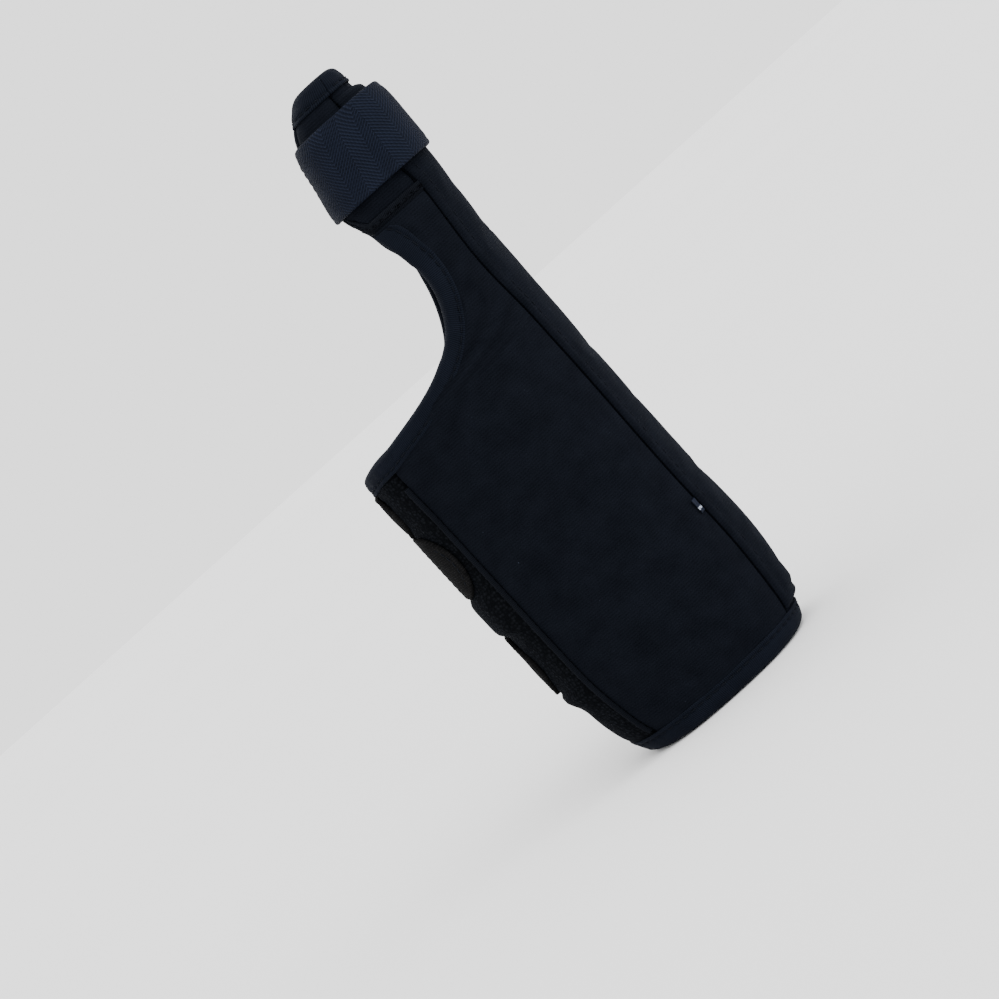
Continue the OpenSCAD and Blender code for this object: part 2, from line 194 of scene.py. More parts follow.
def speed(z, t):
    """Millimetres round the sleeve for each degree."""
    return np.linalg.norm(sleeve(z, t + 0.5) - sleeve(z, t - 0.5), axis=-1)


def outward(z, t):
    """Unit normals of the sleeve."""
    round_it = sleeve(z, t + 0.5) - sleeve(z, t - 0.5)
    up = sleeve(z + 0.5, t) - sleeve(z - 0.5, t)
    normal = np.cross(round_it, up)
    return normal / np.linalg.norm(normal, axis=-1, keepdims=True)


def uneven(points, size, seed, waves=10):
    """Soft unevenness, about -1 to 1, with features about size across."""
    random = np.random.default_rng(seed)
    total = np.zeros(points.shape[:-1])
    for _ in range(waves):
        wave = random.normal(size=3)
        wave *= 2 * math.pi / (size * random.uniform(0.8, 1.8)) / np.linalg.norm(wave)
        total += np.sin(points @ wave + random.uniform(0, 2 * math.pi))
    return total / math.sqrt(waves)


def bump(value, middle, width):
    """1 at the middle, falling softly to 0 about a width away."""
    return np.exp(-(((value - middle) / width) ** 2))


def rounded(distance, radius):
    """Height of a rounded rim, 0.25 at the edge and 1 from the radius on."""
    share = 1 - np.clip(distance / radius, 0, 1)
    return 0.25 + 0.75 * np.sqrt(1 - share * share)


# --- Meshes ---


def add_mesh(name, points, faces, weave=None):
    """Object from points in millimetres and faces; weave gives each point's place in the weave."""
    mesh = bpy.data.meshes.new(name)
    mesh.from_pydata((np.asarray(points) * MM).tolist(), [], [list(map(int, f)) for f in faces])
    mesh.polygons.foreach_set("use_smooth", np.ones(len(mesh.polygons), bool))
    if weave is not None:
        corners = np.zeros(len(mesh.loops), np.int32)
        mesh.loops.foreach_get("vertex_index", corners)
        layer = mesh.uv_layers.new(name="weave")
        layer.data.foreach_set("uv", np.asarray(weave, np.float32)[corners].ravel())
    made = bpy.data.objects.new(name, mesh)
    bpy.context.scene.collection.objects.link(made)
    return made


def join_parts(parts):
    """Points, faces and weave of several parts as one."""
    points, faces, weave, start = [], [], [], 0
    for part_points, part_faces, part_weave in parts:
        points.append(part_points)
        weave.append(part_weave)
        faces += [[start + i for i in face] for face in part_faces]
        start += len(part_points)
    return np.concatenate(points), faces, np.concatenate(weave)


def offsets(length, step, margins=(0, 0.2, 0.5, 0.9, 1.4, 2.1, 3.0)):
    """Places along a length, closer together near both ends."""
    margins = np.asarray(margins) * min(1, length / (3 * margins[-1]))
    inner = max(int(round((length - 2 * margins[-1]) / step)), 1)
    middle = np.linspace(margins[-1], length - margins[-1], inner + 1)
    return np.concatenate([margins[:-1], middle, length - margins[-2::-1]])


class Patch:
    """A stretch of the sleeve between two edge functions, as a grid of places."""

    def __init__(self, heights, first, last, step=1.8):
        heights = np.asarray(heights, float)
        start, end = first(heights)[:, None], last(heights)[:, None]
        fine = start + (end - start) * np.linspace(0, 1, 241)
        steps = np.linalg.norm(np.diff(sleeve(heights[:, None], fine), axis=1), axis=-1)
        run = np.concatenate([np.zeros((len(heights), 1)), np.cumsum(steps, 1)], 1)
        width = run[:, -1]
        columns = offsets(width.max(), step)
        margin = 7
        share = columns / width.max()
        self.t, self.across = [], []
        for row in range(len(heights)):
            want = share * width[row]
            if width[row] > 12:
                want = np.interp(
                    np.arange(len(columns)),
                    [*range(margin), *range(len(columns) - margin, len(columns))],
                    [*columns[:margin], *(width[row] - (width.max() - columns[-margin:]))],
                )
            self.across.append(want)
            self.t.append(np.interp(want, run[row], fine[row]))
        self.t, self.across = np.array(self.t), np.array(self.across)
        self.width = np.repeat(width[:, None], len(columns), 1)
        self.z = np.repeat(heights[:, None], len(columns), 1)
        self.up = self.z - heights[0]
        self.down = heights[-1] - self.z
        self.place = sleeve(self.z, self.t)

    def edge(self):
        """Distance to the nearest edge."""
        sides = np.minimum(self.across, self.width - self.across)
        return np.minimum(sides, np.minimum(self.up, self.down))

    def shell(self, outer, inner):
        """Points, faces and weave of the closed shell between two depths."""
        rows, columns = self.z.shape
        count = rows * columns
        outer, inner = np.broadcast_to(outer, self.z.shape), np.broadcast_to(inner, self.z.shape)
        points = np.concatenate([
            sleeve(self.z, self.t, outer).reshape(-1, 3),
            sleeve(self.z, self.t, inner).reshape(-1, 3),
        ])
        index = np.arange(count).reshape(rows, columns)
        a, b, c, d = index[:-1, :-1], index[:-1, 1:], index[1:, 1:], index[1:, :-1]
        front = np.stack([a, b, c, d], -1).reshape(-1, 4)
        back = count + np.stack([a, d, c, b], -1).reshape(-1, 4)
        rims = []
        for line in (index[0, ::-1], index[:, 0], index[-1, :], index[::-1, -1]):
            near, far = line[:-1], line[1:]
            rims.append(np.stack([near, far, count + far, count + near], -1))
        faces = np.concatenate([front, back, *rims])
        weave = np.stack([self.across, self.z], -1).reshape(-1, 2)
        return points, faces.tolist(), np.concatenate([weave, weave])


def rows_of(low, high, step, dense=()):
    """Heights of a patch's rows; dense lists (from, to, step) stretches with closer rows."""
    rows = low + offsets(high - low, step)
    for start, end, fine in dense:
        rows = rows[(rows <= start) | (rows >= end)]
        rows = np.concatenate([rows, np.linspace(start, end, int(round((end - start) / fine)) + 1)])
    return np.unique(np.round(rows, 4))


def walk(z, t, ahead, up):
    """Place reached from (z, t) after going ahead mm round the sleeve and up mm along it."""
    steps = 8
    z, t, ahead, up = np.broadcast_arrays(z, t, ahead, up)
    z, t = z.astype(float), t.astype(float)
    for _ in range(steps):
        t = t + ahead / steps / speed(z, t)
        z = z + up / steps
    return z, t


class Line:
    """A path on the sleeve, with places evenly spaced along it."""

    def __init__(self, z, t, step, ease=0):
        z, t = np.asarray(z, float), np.asarray(t, float)
        for _ in range(ease):
            z[1:-1] = (z[:-2] + 2 * z[1:-1] + z[2:]) / 4
            t[1:-1] = (t[:-2] + 2 * t[1:-1] + t[2:]) / 4
        run = np.concatenate([[0], np.cumsum(np.linalg.norm(np.diff(sleeve(z, t), axis=0), axis=1))])
        count = max(int(round(run[-1] / step)), 2)
        self.run = np.linspace(0, run[-1], count + 1)
        self.z, self.t = np.interp(self.run, run, z), np.interp(self.run, run, t)
        points = sleeve(self.z, self.t)
        ahead = np.gradient(points, axis=0)
        round_it = (sleeve(self.z, self.t + 0.5) - sleeve(self.z, self.t - 0.5))
        round_it /= np.linalg.norm(round_it, axis=1, keepdims=True)
        along = np.stack([(ahead * round_it).sum(1), ahead[:, 2]], -1)
        along = soften(along / np.linalg.norm(along, axis=1, keepdims=True))
        self.into = np.stack([-along[:, 1], along[:, 0]], -1)

    def beside(self, distance):
        """Places at a distance to the left of the path."""
        return walk(self.z, self.t, self.into[:, 0] * distance, self.into[:, 1] * distance)


def squared(line, length):
    """The same line, with its first stretch set so that tape on it ends level."""
    share = np.clip(line.run / length, 0, 1)[:, None]
    level = np.stack([np.sign(line.into[:, 0]), np.zeros(len(line.run))], -1)
    into = level * (1 - share) + line.into * share
    line.into = into / np.linalg.norm(into, axis=1, keepdims=True)
    return line


def soften(values, rounds=6):
    """Directions along a path with their kinks evened out."""
    for _ in range(rounds):
        padded = np.concatenate([values[:1], values, values[-1:]])
        values = (padded[:-2] + 2 * padded[1:-1] + padded[2:]) / 4
    return values / np.linalg.norm(values, axis=1, keepdims=True)


def tape_section(inner, width=TAPE_W, slack=FOLD_OUT):
    """Cross-section of folded tape, as (distance from the edge, depth, stitch share) points."""
    out = -slack - TAPE_T
    inn = inner + FOLD_IN + TAPE_T
    middle, half, nose = (out + inn) / 2, (inn - out) / 2, 2.0
    stitch_at = width - STITCH_INSET
    face = np.array([width, width - 0.12, width - 0.4, width - 0.8, width - 1.15, stitch_at,
                     width - 1.9, width - 2.4, width / 2, width / 2.7, width / 3.75])
    lift = np.array([0.25, 0.7, 0.95, 0.95, 0.75, 0.55, 0.75, 0.98, 1.04, 1.02, 1.0])
    rows = [(w, out * share, bump(w, stitch_at, 1.0)) for w, share in zip(face, lift)]
    for angle in np.linspace(80, -80, 13):
        radians = math.radians(angle)
        rows.append((nose - RIM - nose * math.cos(radians), middle - half * math.sin(radians), 0.0))
    for w, share in zip(face[::-1], lift[::-1]):
        rows.append((w, inner + (inn - inner) * share, bump(w, stitch_at, 1.0)))
    for w in (width, width * 0.67, width * 0.33):
        rows.append((w - 0.02, inner + 0.02, 0.0))
    for angle in np.linspace(-70, 70, 7):
        radians = math.radians(angle)
        rows.append((
            nose - RIM + TAPE_T - nose * math.cos(radians),
            middle - (half - TAPE_T) * math.sin(radians), 0.0,
        ))
    for w in (width * 0.33, width * 0.67):
        rows.append((w, -0.02, 0.0))
    return np.array(rows)


def tape_part(line, inner, seed, width=TAPE_W, slack=FOLD_OUT, stitch=3.0):
    """Points, faces and weave of tape folded over the edge that runs along a line."""
    section = tape_section(inner, width, slack)
    rings, sides = len(line.z), len(section)
    w, depth, held = section.T
    z, t = walk(line.z[:, None], line.t[:, None], line.into[:, :1] * w, line.into[:, 1:] * w)
    pucker = np.sin(2 * math.pi * line.run / stitch)[:, None]
    place = sleeve(z, t)
    ease = 0.10 * uneven(place, 9, seed) + 0.07 * uneven(place, 3.5, seed + 1)
    side = np.where(depth < inner / 2, -1.0, 1.0)
    proud = side * (0.10 * held * pucker + ease * np.clip(w, 0, 1.5) / 1.5 * (held < 0.9))
    points = sleeve(z, t, depth + proud * 0.8).reshape(-1, 3)
    return tube_faces(points, rings, sides, line.run, section_run(section))


def section_run(section):
    """Distance along a closed cross-section."""
    steps = np.linalg.norm(np.diff(section[:, :2], axis=0), axis=1)
    return np.concatenate([[0], np.cumsum(steps)])


def tube_faces(points, rings, sides, along, round_it):
    """Closed tube through rings of points that turn clockwise as seen along it."""
    index = np.arange(rings * sides).reshape(rings, sides)
    after = np.roll(index, -1, axis=1)
    faces = np.stack([index[:-1], after[:-1], after[1:], index[1:]], -1).reshape(-1, 4).tolist()
    faces.append(index[0, ::-1].tolist())
    faces.append(index[-1].tolist())
    weave = np.stack(np.broadcast_arrays(np.asarray(along)[:, None], round_it), -1).reshape(-1, 2)
    return points, faces, weave


THREAD_R = 0.2
THREAD_ARC = [(-0.5, -0.35), (-0.42, 0.02), (-0.2, 0.12), (0.2, 0.12), (0.42, 0.02), (0.5, -0.35)]


def stitch_part(line, depth, pitch=3.0, length=2.1):
    """Points, faces and weave of a row of stitches along a line; each dips into the cloth."""
    centres = np.arange(pitch / 2, line.run[-1] - pitch / 3, pitch)
    share = np.array(THREAD_ARC)
    run = centres[:, None] + share[:, 0] * length
    z, t = np.interp(run, line.run, line.z), np.interp(run, line.run, line.t)
    normal = outward(z, t)
    middle = sleeve(z, t, depth) + normal * share[:, 1, None]
    ahead = np.gradient(middle, axis=1)
    ahead /= np.linalg.norm(ahead, axis=-1, keepdims=True)
    aside = np.cross(ahead, normal)
    aside /= np.linalg.norm(aside, axis=-1, keepdims=True)
    up = np.cross(aside, ahead)
    sides = 6
    turn = np.linspace(0, 2 * math.pi, sides, endpoint=False)
    ring = np.cos(turn)[:, None] * aside[:, :, None] + np.sin(turn)[:, None] * up[:, :, None]
    points = middle[:, :, None] + ring * THREAD_R
    parts = []
    round_it = THREAD_R * turn
    for one in points:
        parts.append(tube_faces(one.reshape(-1, 3), len(share), sides, share[:, 0] * length, round_it))
    return join_parts(parts)


def straight_line(z0, t0, z1, t1, step=1.0):
    """Line between two places."""
    share = np.linspace(0, 1, 60)
    return Line(z0 + (z1 - z0) * share, t0 + (t1 - t0) * share, step)


# --- Materials ---


class Recipe:
    """A node material that reads the weave's own millimetres."""

    def __init__(self, name, roughness, specular=0.2, metallic=0.0, sheen=0.0, tint=(1, 1, 1)):
        self.material = bpy.data.materials.new(name)
        self.material.use_nodes = True
        self.tree = self.material.node_tree
        self.shader = self.tree.nodes["Principled BSDF"]
        self.shader.inputs["Roughness"].default_value = roughness
        self.shader.inputs["Specular IOR Level"].default_value = specular
        self.shader.inputs["Metallic"].default_value = metallic
        self.shader.inputs["Sheen Weight"].default_value = sheen
        self.shader.inputs["Sheen Roughness"].default_value = 0.5
        self.shader.inputs["Sheen Tint"].default_value = (*tint, 1)
        weave = self.tree.nodes.new("ShaderNodeUVMap")
        weave.uv_map = "weave"
        self.weave = weave.outputs["UV"]
        split = self.node("SeparateXYZ", {"Vector": self.weave})
        self.x, self.y = split.outputs["X"], split.outputs["Y"]

    def node(self, kind, inputs, **settings):
        made = self.tree.nodes.new("ShaderNode" + kind)
        for key, value in settings.items():
            setattr(made, key, value)
        for key, value in inputs.items():
            if isinstance(value, bpy.types.NodeSocket):
                self.tree.links.new(value, made.inputs[key])
            else:
                made.inputs[key].default_value = value
        return made

    def math(self, operation, a, b=0.0, clamp=False):
        made = self.node("Math", {0: a, 1: b}, operation=operation, use_clamp=clamp)
        return made.outputs[0]

    def noise(self, size, detail=2.0, stretch=None):
        """Noise with features about size mm across, stretched along the weave if asked."""
        source = self.weave
        if stretch:
            source = self.node("Mapping", {"Vector": source, "Scale": (*stretch, 1)}).outputs[0]
        inputs = {"Vector": source, "Scale": 1 / size, "Detail": detail, "Roughness": 0.6}
        return self.node("TexNoise", inputs).outputs[0]

    def dots(self, size, random=1.0):
        """Distance to the nearest of scattered points about size mm apart, 0 to 1."""
        inputs = {"Vector": self.weave, "Scale": 1 / size, "Randomness": random}
        return self.node("TexVoronoi", inputs).outputs["Distance"]

    def times(self, a, b):
        return self.math("MULTIPLY", a, b)

    def plus(self, a, b):
        return self.math("ADD", a, b)

    def waves(self, along, pitch):
        """Smooth rows that repeat each pitch, 0 to 1."""
        sine = self.math("SINE", self.times(along, 2 * math.pi / pitch))
        return self.node("Math", {0: sine, 1: 0.5, 2: 0.5}, operation="MULTIPLY_ADD").outputs[0]

    def colours(self, factor, stops):
        """Sets the base colour from a factor; stops are (place, colour)."""
        ramp = self.node("ValToRGB", {"Fac": factor})
        elements = ramp.color_ramp.elements
        while len(elements) < len(stops):
            elements.new(0.5)
        for element, (place, colour) in zip(elements, stops):
            element.position = place
            element.color = (*colour, 1)
        self.tree.links.new(ramp.outputs["Color"], self.shader.inputs["Base Color"])

    def rough(self, factor, low, high):
        inputs = {"Value": factor, "To Min": low, "To Max": high}
        ranged = self.node("MapRange", inputs)
        self.tree.links.new(ranged.outputs[0], self.shader.inputs["Roughness"])

    def relief(self, *layers):
        """Stacks (height, depth in mm) layers as bumps."""
        normal = None
        for height, depth in layers:
            inputs = {"Height": height, "Distance": depth * MM, "Strength": 1.0}
            if normal is not None:
                inputs["Normal"] = normal
            normal = self.node("Bump", inputs).outputs[0]
        self.tree.links.new(normal, self.shader.inputs["Normal"])


COOL = (0.6, 0.7, 1)


def brushed_cloth(name, dark, light, fleck=0.35):
    """Brushed knit: short fibres lying every way, slightly uneven nap, a little lint."""
    cloth = Recipe(name, 0.92, 0.018, sheen=0.012, tint=COOL)
    fibres = cloth.noise(fleck, 4.0)
    nap = cloth.noise(9.0, 3.0)
    knit = cloth.waves(cloth.y, 0.9)
    mixed = cloth.times(fibres, cloth.plus(nap, 0.5))
    mixed = cloth.plus(mixed, cloth.times(knit, 0.12))
    lint = cloth.math("LESS_THAN", cloth.dots(8.0), 0.02)
    middle = tuple((a + b) / 2 for a, b in zip(dark, light))
    pale = tuple(5 * a for a in light)
    factor = cloth.math("MAXIMUM", mixed, lint)
    cloth.colours(factor, [(0.30, dark), (0.55, middle), (0.85, light), (1.0, pale)])
    cloth.rough(nap, 0.82, 0.97)
    cloth.relief((nap, 0.12), (knit, 0.03), (fibres, 0.16))
    return cloth.material


def loop_cloth(name, dark, light):
    """Unbroken loop: rows of small open loops with dark gaps."""
    cloth = Recipe(name, 0.95, 0.015, sheen=0.01, tint=COOL)
    loops = cloth.dots(1.15, 0.55)
    fibres = cloth.noise(0.3, 3.0)
    height = cloth.math("SUBTRACT", 1.0, cloth.times(loops, 1.5), clamp=True)
    mixed = cloth.times(height, cloth.plus(fibres, 0.35))
    cloth.colours(mixed, [(0.15, dark), (0.8, light)])
    cloth.relief((height, 0.35), (fibres, 0.12))
    return cloth.material


def tape_cloth(name, dark, light):
    """Ribbed binding tape: fine cross ribs over lengthwise threads."""
    cloth = Recipe(name, 0.85, 0.03, sheen=0.012, tint=COOL)
    ribs = cloth.waves(cloth.x, 0.55)
    threads = cloth.waves(cloth.y, 0.35)
    fuzz = cloth.noise(0.4, 3.0)
    shade = cloth.noise(14.0, 2.0)
    mixed = cloth.plus(cloth.times(ribs, 0.35), cloth.times(fuzz, 0.5))
    mixed = cloth.times(mixed, cloth.plus(shade, 0.5))
    cloth.colours(mixed, [(0.15, dark), (0.7, light)])
    cloth.relief((ribs, 0.08), (threads, 0.04), (fuzz, 0.06))
    return cloth.material


def strap_cloth(name, dark, light):
    """Loop-faced strap: plush face with a woven base and plain selvages."""
    cloth = Recipe(name, 0.93, 0.03, sheen=0.02, tint=COOL)
    plush = cloth.noise(0.45, 4.0)
    rows = cloth.waves(cloth.y, 1.3)
    nap = cloth.noise(6.0, 2.0, stretch=(0.5, 1.2))
    mixed = cloth.plus(cloth.times(plush, 0.8), cloth.times(rows, 0.12))
    mixed = cloth.times(mixed, cloth.plus(nap, 0.5))
    cloth.colours(mixed, [(0.2, dark), (0.75, light)])
    cloth.relief((nap, 0.15), (rows, 0.1), (plush, 0.25))
    return cloth.material


KNIT_COLUMN = 5.0
KNIT_PITCH = 1.15


def herringbone(name, dark, light):
    """Knit elastic: columns of diagonal ribs that turn back at each column, plain at the edges."""
    cloth = Recipe(name, 0.7, 0.06)
    fold = cloth.math("PINGPONG", cloth.x, KNIT_COLUMN)
    phase = cloth.math("DIVIDE", cloth.plus(cloth.y, fold), KNIT_PITCH)
    ribs = cloth.waves(phase, 1)
    cross = cloth.waves(cloth.x, 0.9)
    fuzz = cloth.noise(0.35, 3.0)
    patch = cloth.noise(7.0, 2.0)
    knots = cloth.times(ribs, cloth.plus(cloth.times(cross, 0.5), 0.5))
    mixed = cloth.plus(cloth.times(knots, 0.7), cloth.times(fuzz, 0.3))
    mixed = cloth.times(mixed, cloth.plus(patch, 0.5))
    cloth.colours(mixed, [(0.1, dark), (0.8, light)])
    cloth.rough(knots, 0.85, 0.65)
    cloth.relief((ribs, 0.3), (cross, 0.1), (fuzz, 0.1))
    return cloth.material


def hook_cloth(name, dark, light):
    """Hook tape: rows of tiny hooks on a plain woven back."""
    cloth = Recipe(name, 0.92, 0.02)
    across = cloth.waves(cloth.x, 1.0)
    along = cloth.waves(cloth.y, 0.8)
    hooks = cloth.times(across, along)
    dust = cloth.noise(2.5, 4.0)
    mixed = cloth.plus(cloth.times(hooks, 0.4), cloth.times(dust, 0.6))
    cloth.colours(mixed, [(0.2, dark), (0.75, light)])
    cloth.relief((hooks, 0.15), (dust, 0.1))
    return cloth.material


LABEL_BAR = 1.6


def woven_label(name, ground, mark):
    """Woven ribbon with a plain light bar near its fold and no lettering."""
    cloth = Recipe(name, 0.55, 0.1)
    threads = cloth.waves(cloth.y, 0.3)
    distance = cloth.math("ABSOLUTE", cloth.math("SUBTRACT", cloth.y, LABEL_BAR))
    bar = cloth.math("LESS_THAN", distance, 0.45)
    broken = cloth.math("GREATER_THAN", cloth.noise(0.8, 1.0), 0.42)
    cloth.colours(cloth.times(bar, broken), [(0.2, ground), (0.8, mark)])
    cloth.relief((threads, 0.05))
    return cloth.material


def rolled_metal(name):
    """Aluminium strip with fine rolling lines and dull rubbed patches."""
    metal = Recipe(name, 0.4, 0.5, metallic=1.0)
    lines = metal.noise(0.5, 3.0, stretch=(1.0, 0.03))
    rubbed = metal.noise(12.0, 3.0)
    metal.colours(lines, [(0.3, (0.42, 0.43, 0.45)), (0.7, (0.62, 0.63, 0.65))])
    metal.rough(rubbed, 0.28, 0.55)
    metal.relief((lines, 0.02))
    return metal.material


PANEL_CLOTH = brushed_cloth("brushed_panel_cloth", (0.0009, 0.0012, 0.0021), (0.0045, 0.0055, 0.0084))
LOOP_CLOTH = loop_cloth("loop_panel_cloth", (0.0014, 0.0016, 0.0020), (0.0054, 0.0060, 0.0076))
LINING_CLOTH = brushed_cloth("lining_cloth", (0.0025, 0.0029, 0.0042), (0.0120, 0.0135, 0.0185), 0.6)
BINDING_TAPE = tape_cloth("binding_tape", (0.0010, 0.0014, 0.0027), (0.0049, 0.0064, 0.0112))
DARK_TAPE = tape_cloth("dark_tape", (0.0008, 0.0010, 0.0017), (0.0042, 0.0052, 0.0078))
POCKET_CLOTH = brushed_cloth("pocket_cloth", (0.0030, 0.0034, 0.0046), (0.0110, 0.0120, 0.0160), 0.4)
STRAP_CLOTH = strap_cloth("strap_cloth", (0.0008, 0.0009, 0.0013), (0.0048, 0.0054, 0.0072))
THUMB_KNIT = herringbone("thumb_knit", (0.0025, 0.0035, 0.0072), (0.0057, 0.0083, 0.0180))
HOOK_TAPE = hook_cloth("hook_tape", (0.0024, 0.0024, 0.0026), (0.0085, 0.0083, 0.0086))
LABEL_RIBBON = woven_label("label_ribbon", (0.004, 0.006, 0.014), (0.30, 0.33, 0.40))
THREAD = tape_cloth("sewing_thread", (0.0015, 0.0018, 0.0028), (0.0060, 0.0072, 0.0105))
METAL = rolled_metal("rolled_aluminium")


def finish_piece(piece, material, slot, *nodes):
    """Gives a piece its material and hides the CAD nodes it stands for; the slot is not used."""
    piece.data.materials.append(material)
    if nodes:
        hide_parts(*nodes)
    return piece


# --- Places taken from the frame ---


def box_of(node):
    """Low and high corner of a CAD node, in millimetres."""
    return [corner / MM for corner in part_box(node)]


def middle_z(node):
    low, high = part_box(node)
    return (low.z + high.z) / 2 / MM


def width_z(node):
    low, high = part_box(node)
    return (high.z - low.z) / MM


ARM_STRAPS = {
    name: (middle_z(name + "_strap"), width_z(name + "_strap"))
    for name in ("forearm", "middle", "wrist")
}
THUMB_Z = middle_z("thumb_strap")
THUMB_W = width_z("thumb_strap")


# --- Panels ---


def cinch(z, t):
    """Inward depth where the straps hold the sleeve in, and outward between them."""
    depth = np.zeros(np.broadcast(z, t).shape)
    bands = sorted(ARM_STRAPS.values())
    turn = np.mod(t, 360)
    around = np.clip((turn - 40) / 30, 0, 1) * np.clip((232 - turn) / 25, 0, 1)
    around = around * np.clip((np.abs(turn - 135) - 22) / 14, 0, 1)
    for (z0, w0), (z1, w1) in zip(bands, bands[1:]):
        low, high = z0 + w0 / 2, z1 - w1 / 2
        share = np.clip((z - low) / max(high - low, 1), 0, 1)
        depth -= 2.0 * min((high - low) / 12, 1) * (1 - np.abs(2 * share - 1) ** 6)
    below = bands[0][0] - bands[0][1] / 2
    depth -= 1.4 * np.clip((below - z) / 1.5, 0, 1) * bump(z, below - 1.5, 5)
    return depth * around


def padding(patch, seed, crown=0.35, dips=(1, 1, 1, 1)):
    """Outward puff of a padded panel: low at its sewn edges, softly uneven between them.

    The dips say how far sewing pulls in its first, last, bottom and top edges, 0 to 1.
    """
    first, last, bottom, top = dips
    pull = np.zeros(patch.z.shape)
    far = patch.width - patch.across
    pairs = (patch.across, first), (far, last), (patch.up, bottom), (patch.down, top)
    for distance, share in pairs:
        pull = np.maximum(pull, share * np.exp(-distance / 2.2))
    wave = 0.20 * uneven(patch.place, 46, seed) + 0.10 * uneven(patch.place, 17, seed + 1)
    inner = 1 - np.exp(-patch.edge() / 7)
    return (crown + wave) * inner - 0.55 * pull


def panel_part(patch, puff, rim):
    """Closed padded panel: rounded rims and an outer face that stands puff proud."""
    full = rounded(patch.edge(), rim)
    middle = PANEL_T / 2
    outer = middle - middle * full - puff
    inner = middle + middle * full
    return patch.shell(outer, inner)


SWELL_FRAMES = 20
SWELL_PRESSURE = 4.0


def swell(patch, part, cap, free=5.0, growth=0.01):
    """Cloth simulation that blows a panel's outer face out against its sewn rim.

    The rim and the inner face are pinned, and the hold fades out over the free distance from the
    rim. No point moves further than the cap.
    """
    points, faces, weave = part
    count = patch.z.size
    loose = np.zeros(len(points))
    share = np.clip(patch.edge().ravel() / free, 0, 1)
    loose[:count] = share * share * (3 - 2 * share)
    bag = add_mesh("swelling", points, faces)
    pinned = bag.vertex_groups.new(name="pinned")
    for index, value in enumerate(1 - loose):
        pinned.add([index], float(value), "REPLACE")
    settings = bag.modifiers.new("swell", "CLOTH").settings
    settings.quality = 4
    settings.mass = 0.2
    settings.tension_stiffness = settings.compression_stiffness = 8
    settings.bending_stiffness = 0.4
    settings.use_pressure = True
    settings.uniform_pressure_force = SWELL_PRESSURE
    settings.vertex_group_mass = "pinned"
    settings.shrink_min = -growth
    settings.effector_weights.gravity = 0
    bag.modifiers["swell"].collision_settings.use_collision = False
    for number in range(1, SWELL_FRAMES + 1):
        bpy.context.scene.frame_set(number)
    result = bag.evaluated_get(bpy.context.evaluated_depsgraph_get()).to_mesh()
    moved = np.empty(len(points) * 3)
    result.vertices.foreach_get("co", moved)
    step = moved.reshape(-1, 3) / MM - points
    length = np.linalg.norm(step, axis=1, keepdims=True)
    step *= np.tanh(length / cap) * cap / np.maximum(length, 1e-9) * loose[:, None]
    bpy.data.objects.remove(bag)
    bpy.context.scene.frame_set(1)
    return points + step, faces, weave


def make_panel(name, node, patch, puff, cap, cloth=PANEL_CLOTH, slot="panel_cloth", rim=0.8, free=5.0):
    """Padded panel over a patch, blown out by at most the cap."""
    part = swell(patch, panel_part(patch, puff, rim), cap, free)
    return finish_piece(add_mesh(name, *part), cloth, slot, node)


STAY_PRINT = 0.12


def make_panels():
    """The five panels of the sleeve: palm, thumb side, back, little finger side, thumb tube."""
    volar = Patch(
        rows_of(RIM, CUFF_BOTTOM + 0.2, 2.2, [(121.5, 134, 0.45)]),
        shifted(palm_edge, 0.4), shifted(seam_edge, -0.05),
    )
    puff = padding(volar, 11, dips=(1, 0.05, 1, 0.5)) + STAY_PRINT * stay_print(volar, "volar_stay")
    make_panel("volar_padded_panel", "volar_panel", volar, puff, 0.8, rim=0.4)

    radial = Patch(rows_of(RIM, TROUGH_BOTTOM - 0.1, 2.4), shifted(seam_edge, 0.05), fixed(SIDE_SEAM - 0.05))
    make_panel("radial_padded_panel", "radial_panel", radial, padding(radial, 21, crown=0.1), 0.4)

    dorsal = Patch(
        rows_of(RIM, TROUGH_BOTTOM - 0.1, 2.2, [(118, 134, 0.6)]), fixed(SIDE_SEAM + 0.05), back_edge,
    )
    puff = padding(dorsal, 31) - cinch(dorsal.z, dorsal.t) + STAY_PRINT * stay_print(dorsal, "dorsal_stay")
    make_panel("dorsal_padded_panel", "dorsal_panel", dorsal, puff, 0.6)

    ulnar = Patch(rows_of(RIM, ULNAR_TOP, 1.5), fixed(SPLIT_ULNAR), fixed(360 + PIPING - 0.4))
    puff = padding(ulnar, 41, crown=0.25) - cinch(ulnar.z, ulnar.t)
    make_panel("ulnar_loop_panel", "ulnar_panel", ulnar, puff, 0.5, LOOP_CLOTH, "loop_mesh")

    trough = Patch(
        rows_of(TROUGH_BOTTOM, CLOTH_END, 1.5, [(176, 192, 0.8)]), shifted(seam_edge, 0.1), back_edge, 1.5,
    )
    tip = bump(trough.t, 186, 16) * bump(trough.z, 213, 4)
    make_panel("thumb_tube_panel", "thumb_trough", trough, padding(trough, 51, crown=0.15) + tip, 0.4)


def stay_print(patch, node):
    """Faint ridge where a stay lies under the padding."""
    low, high = box_of(node)
    x, z = patch.place[..., 0], patch.z
    soft = 2.5
    inside = np.minimum(np.minimum(x - low.x, high.x - x), np.minimum(z - low.z, high.z - z))
    return 1 / (1 + np.exp(-inside / soft))


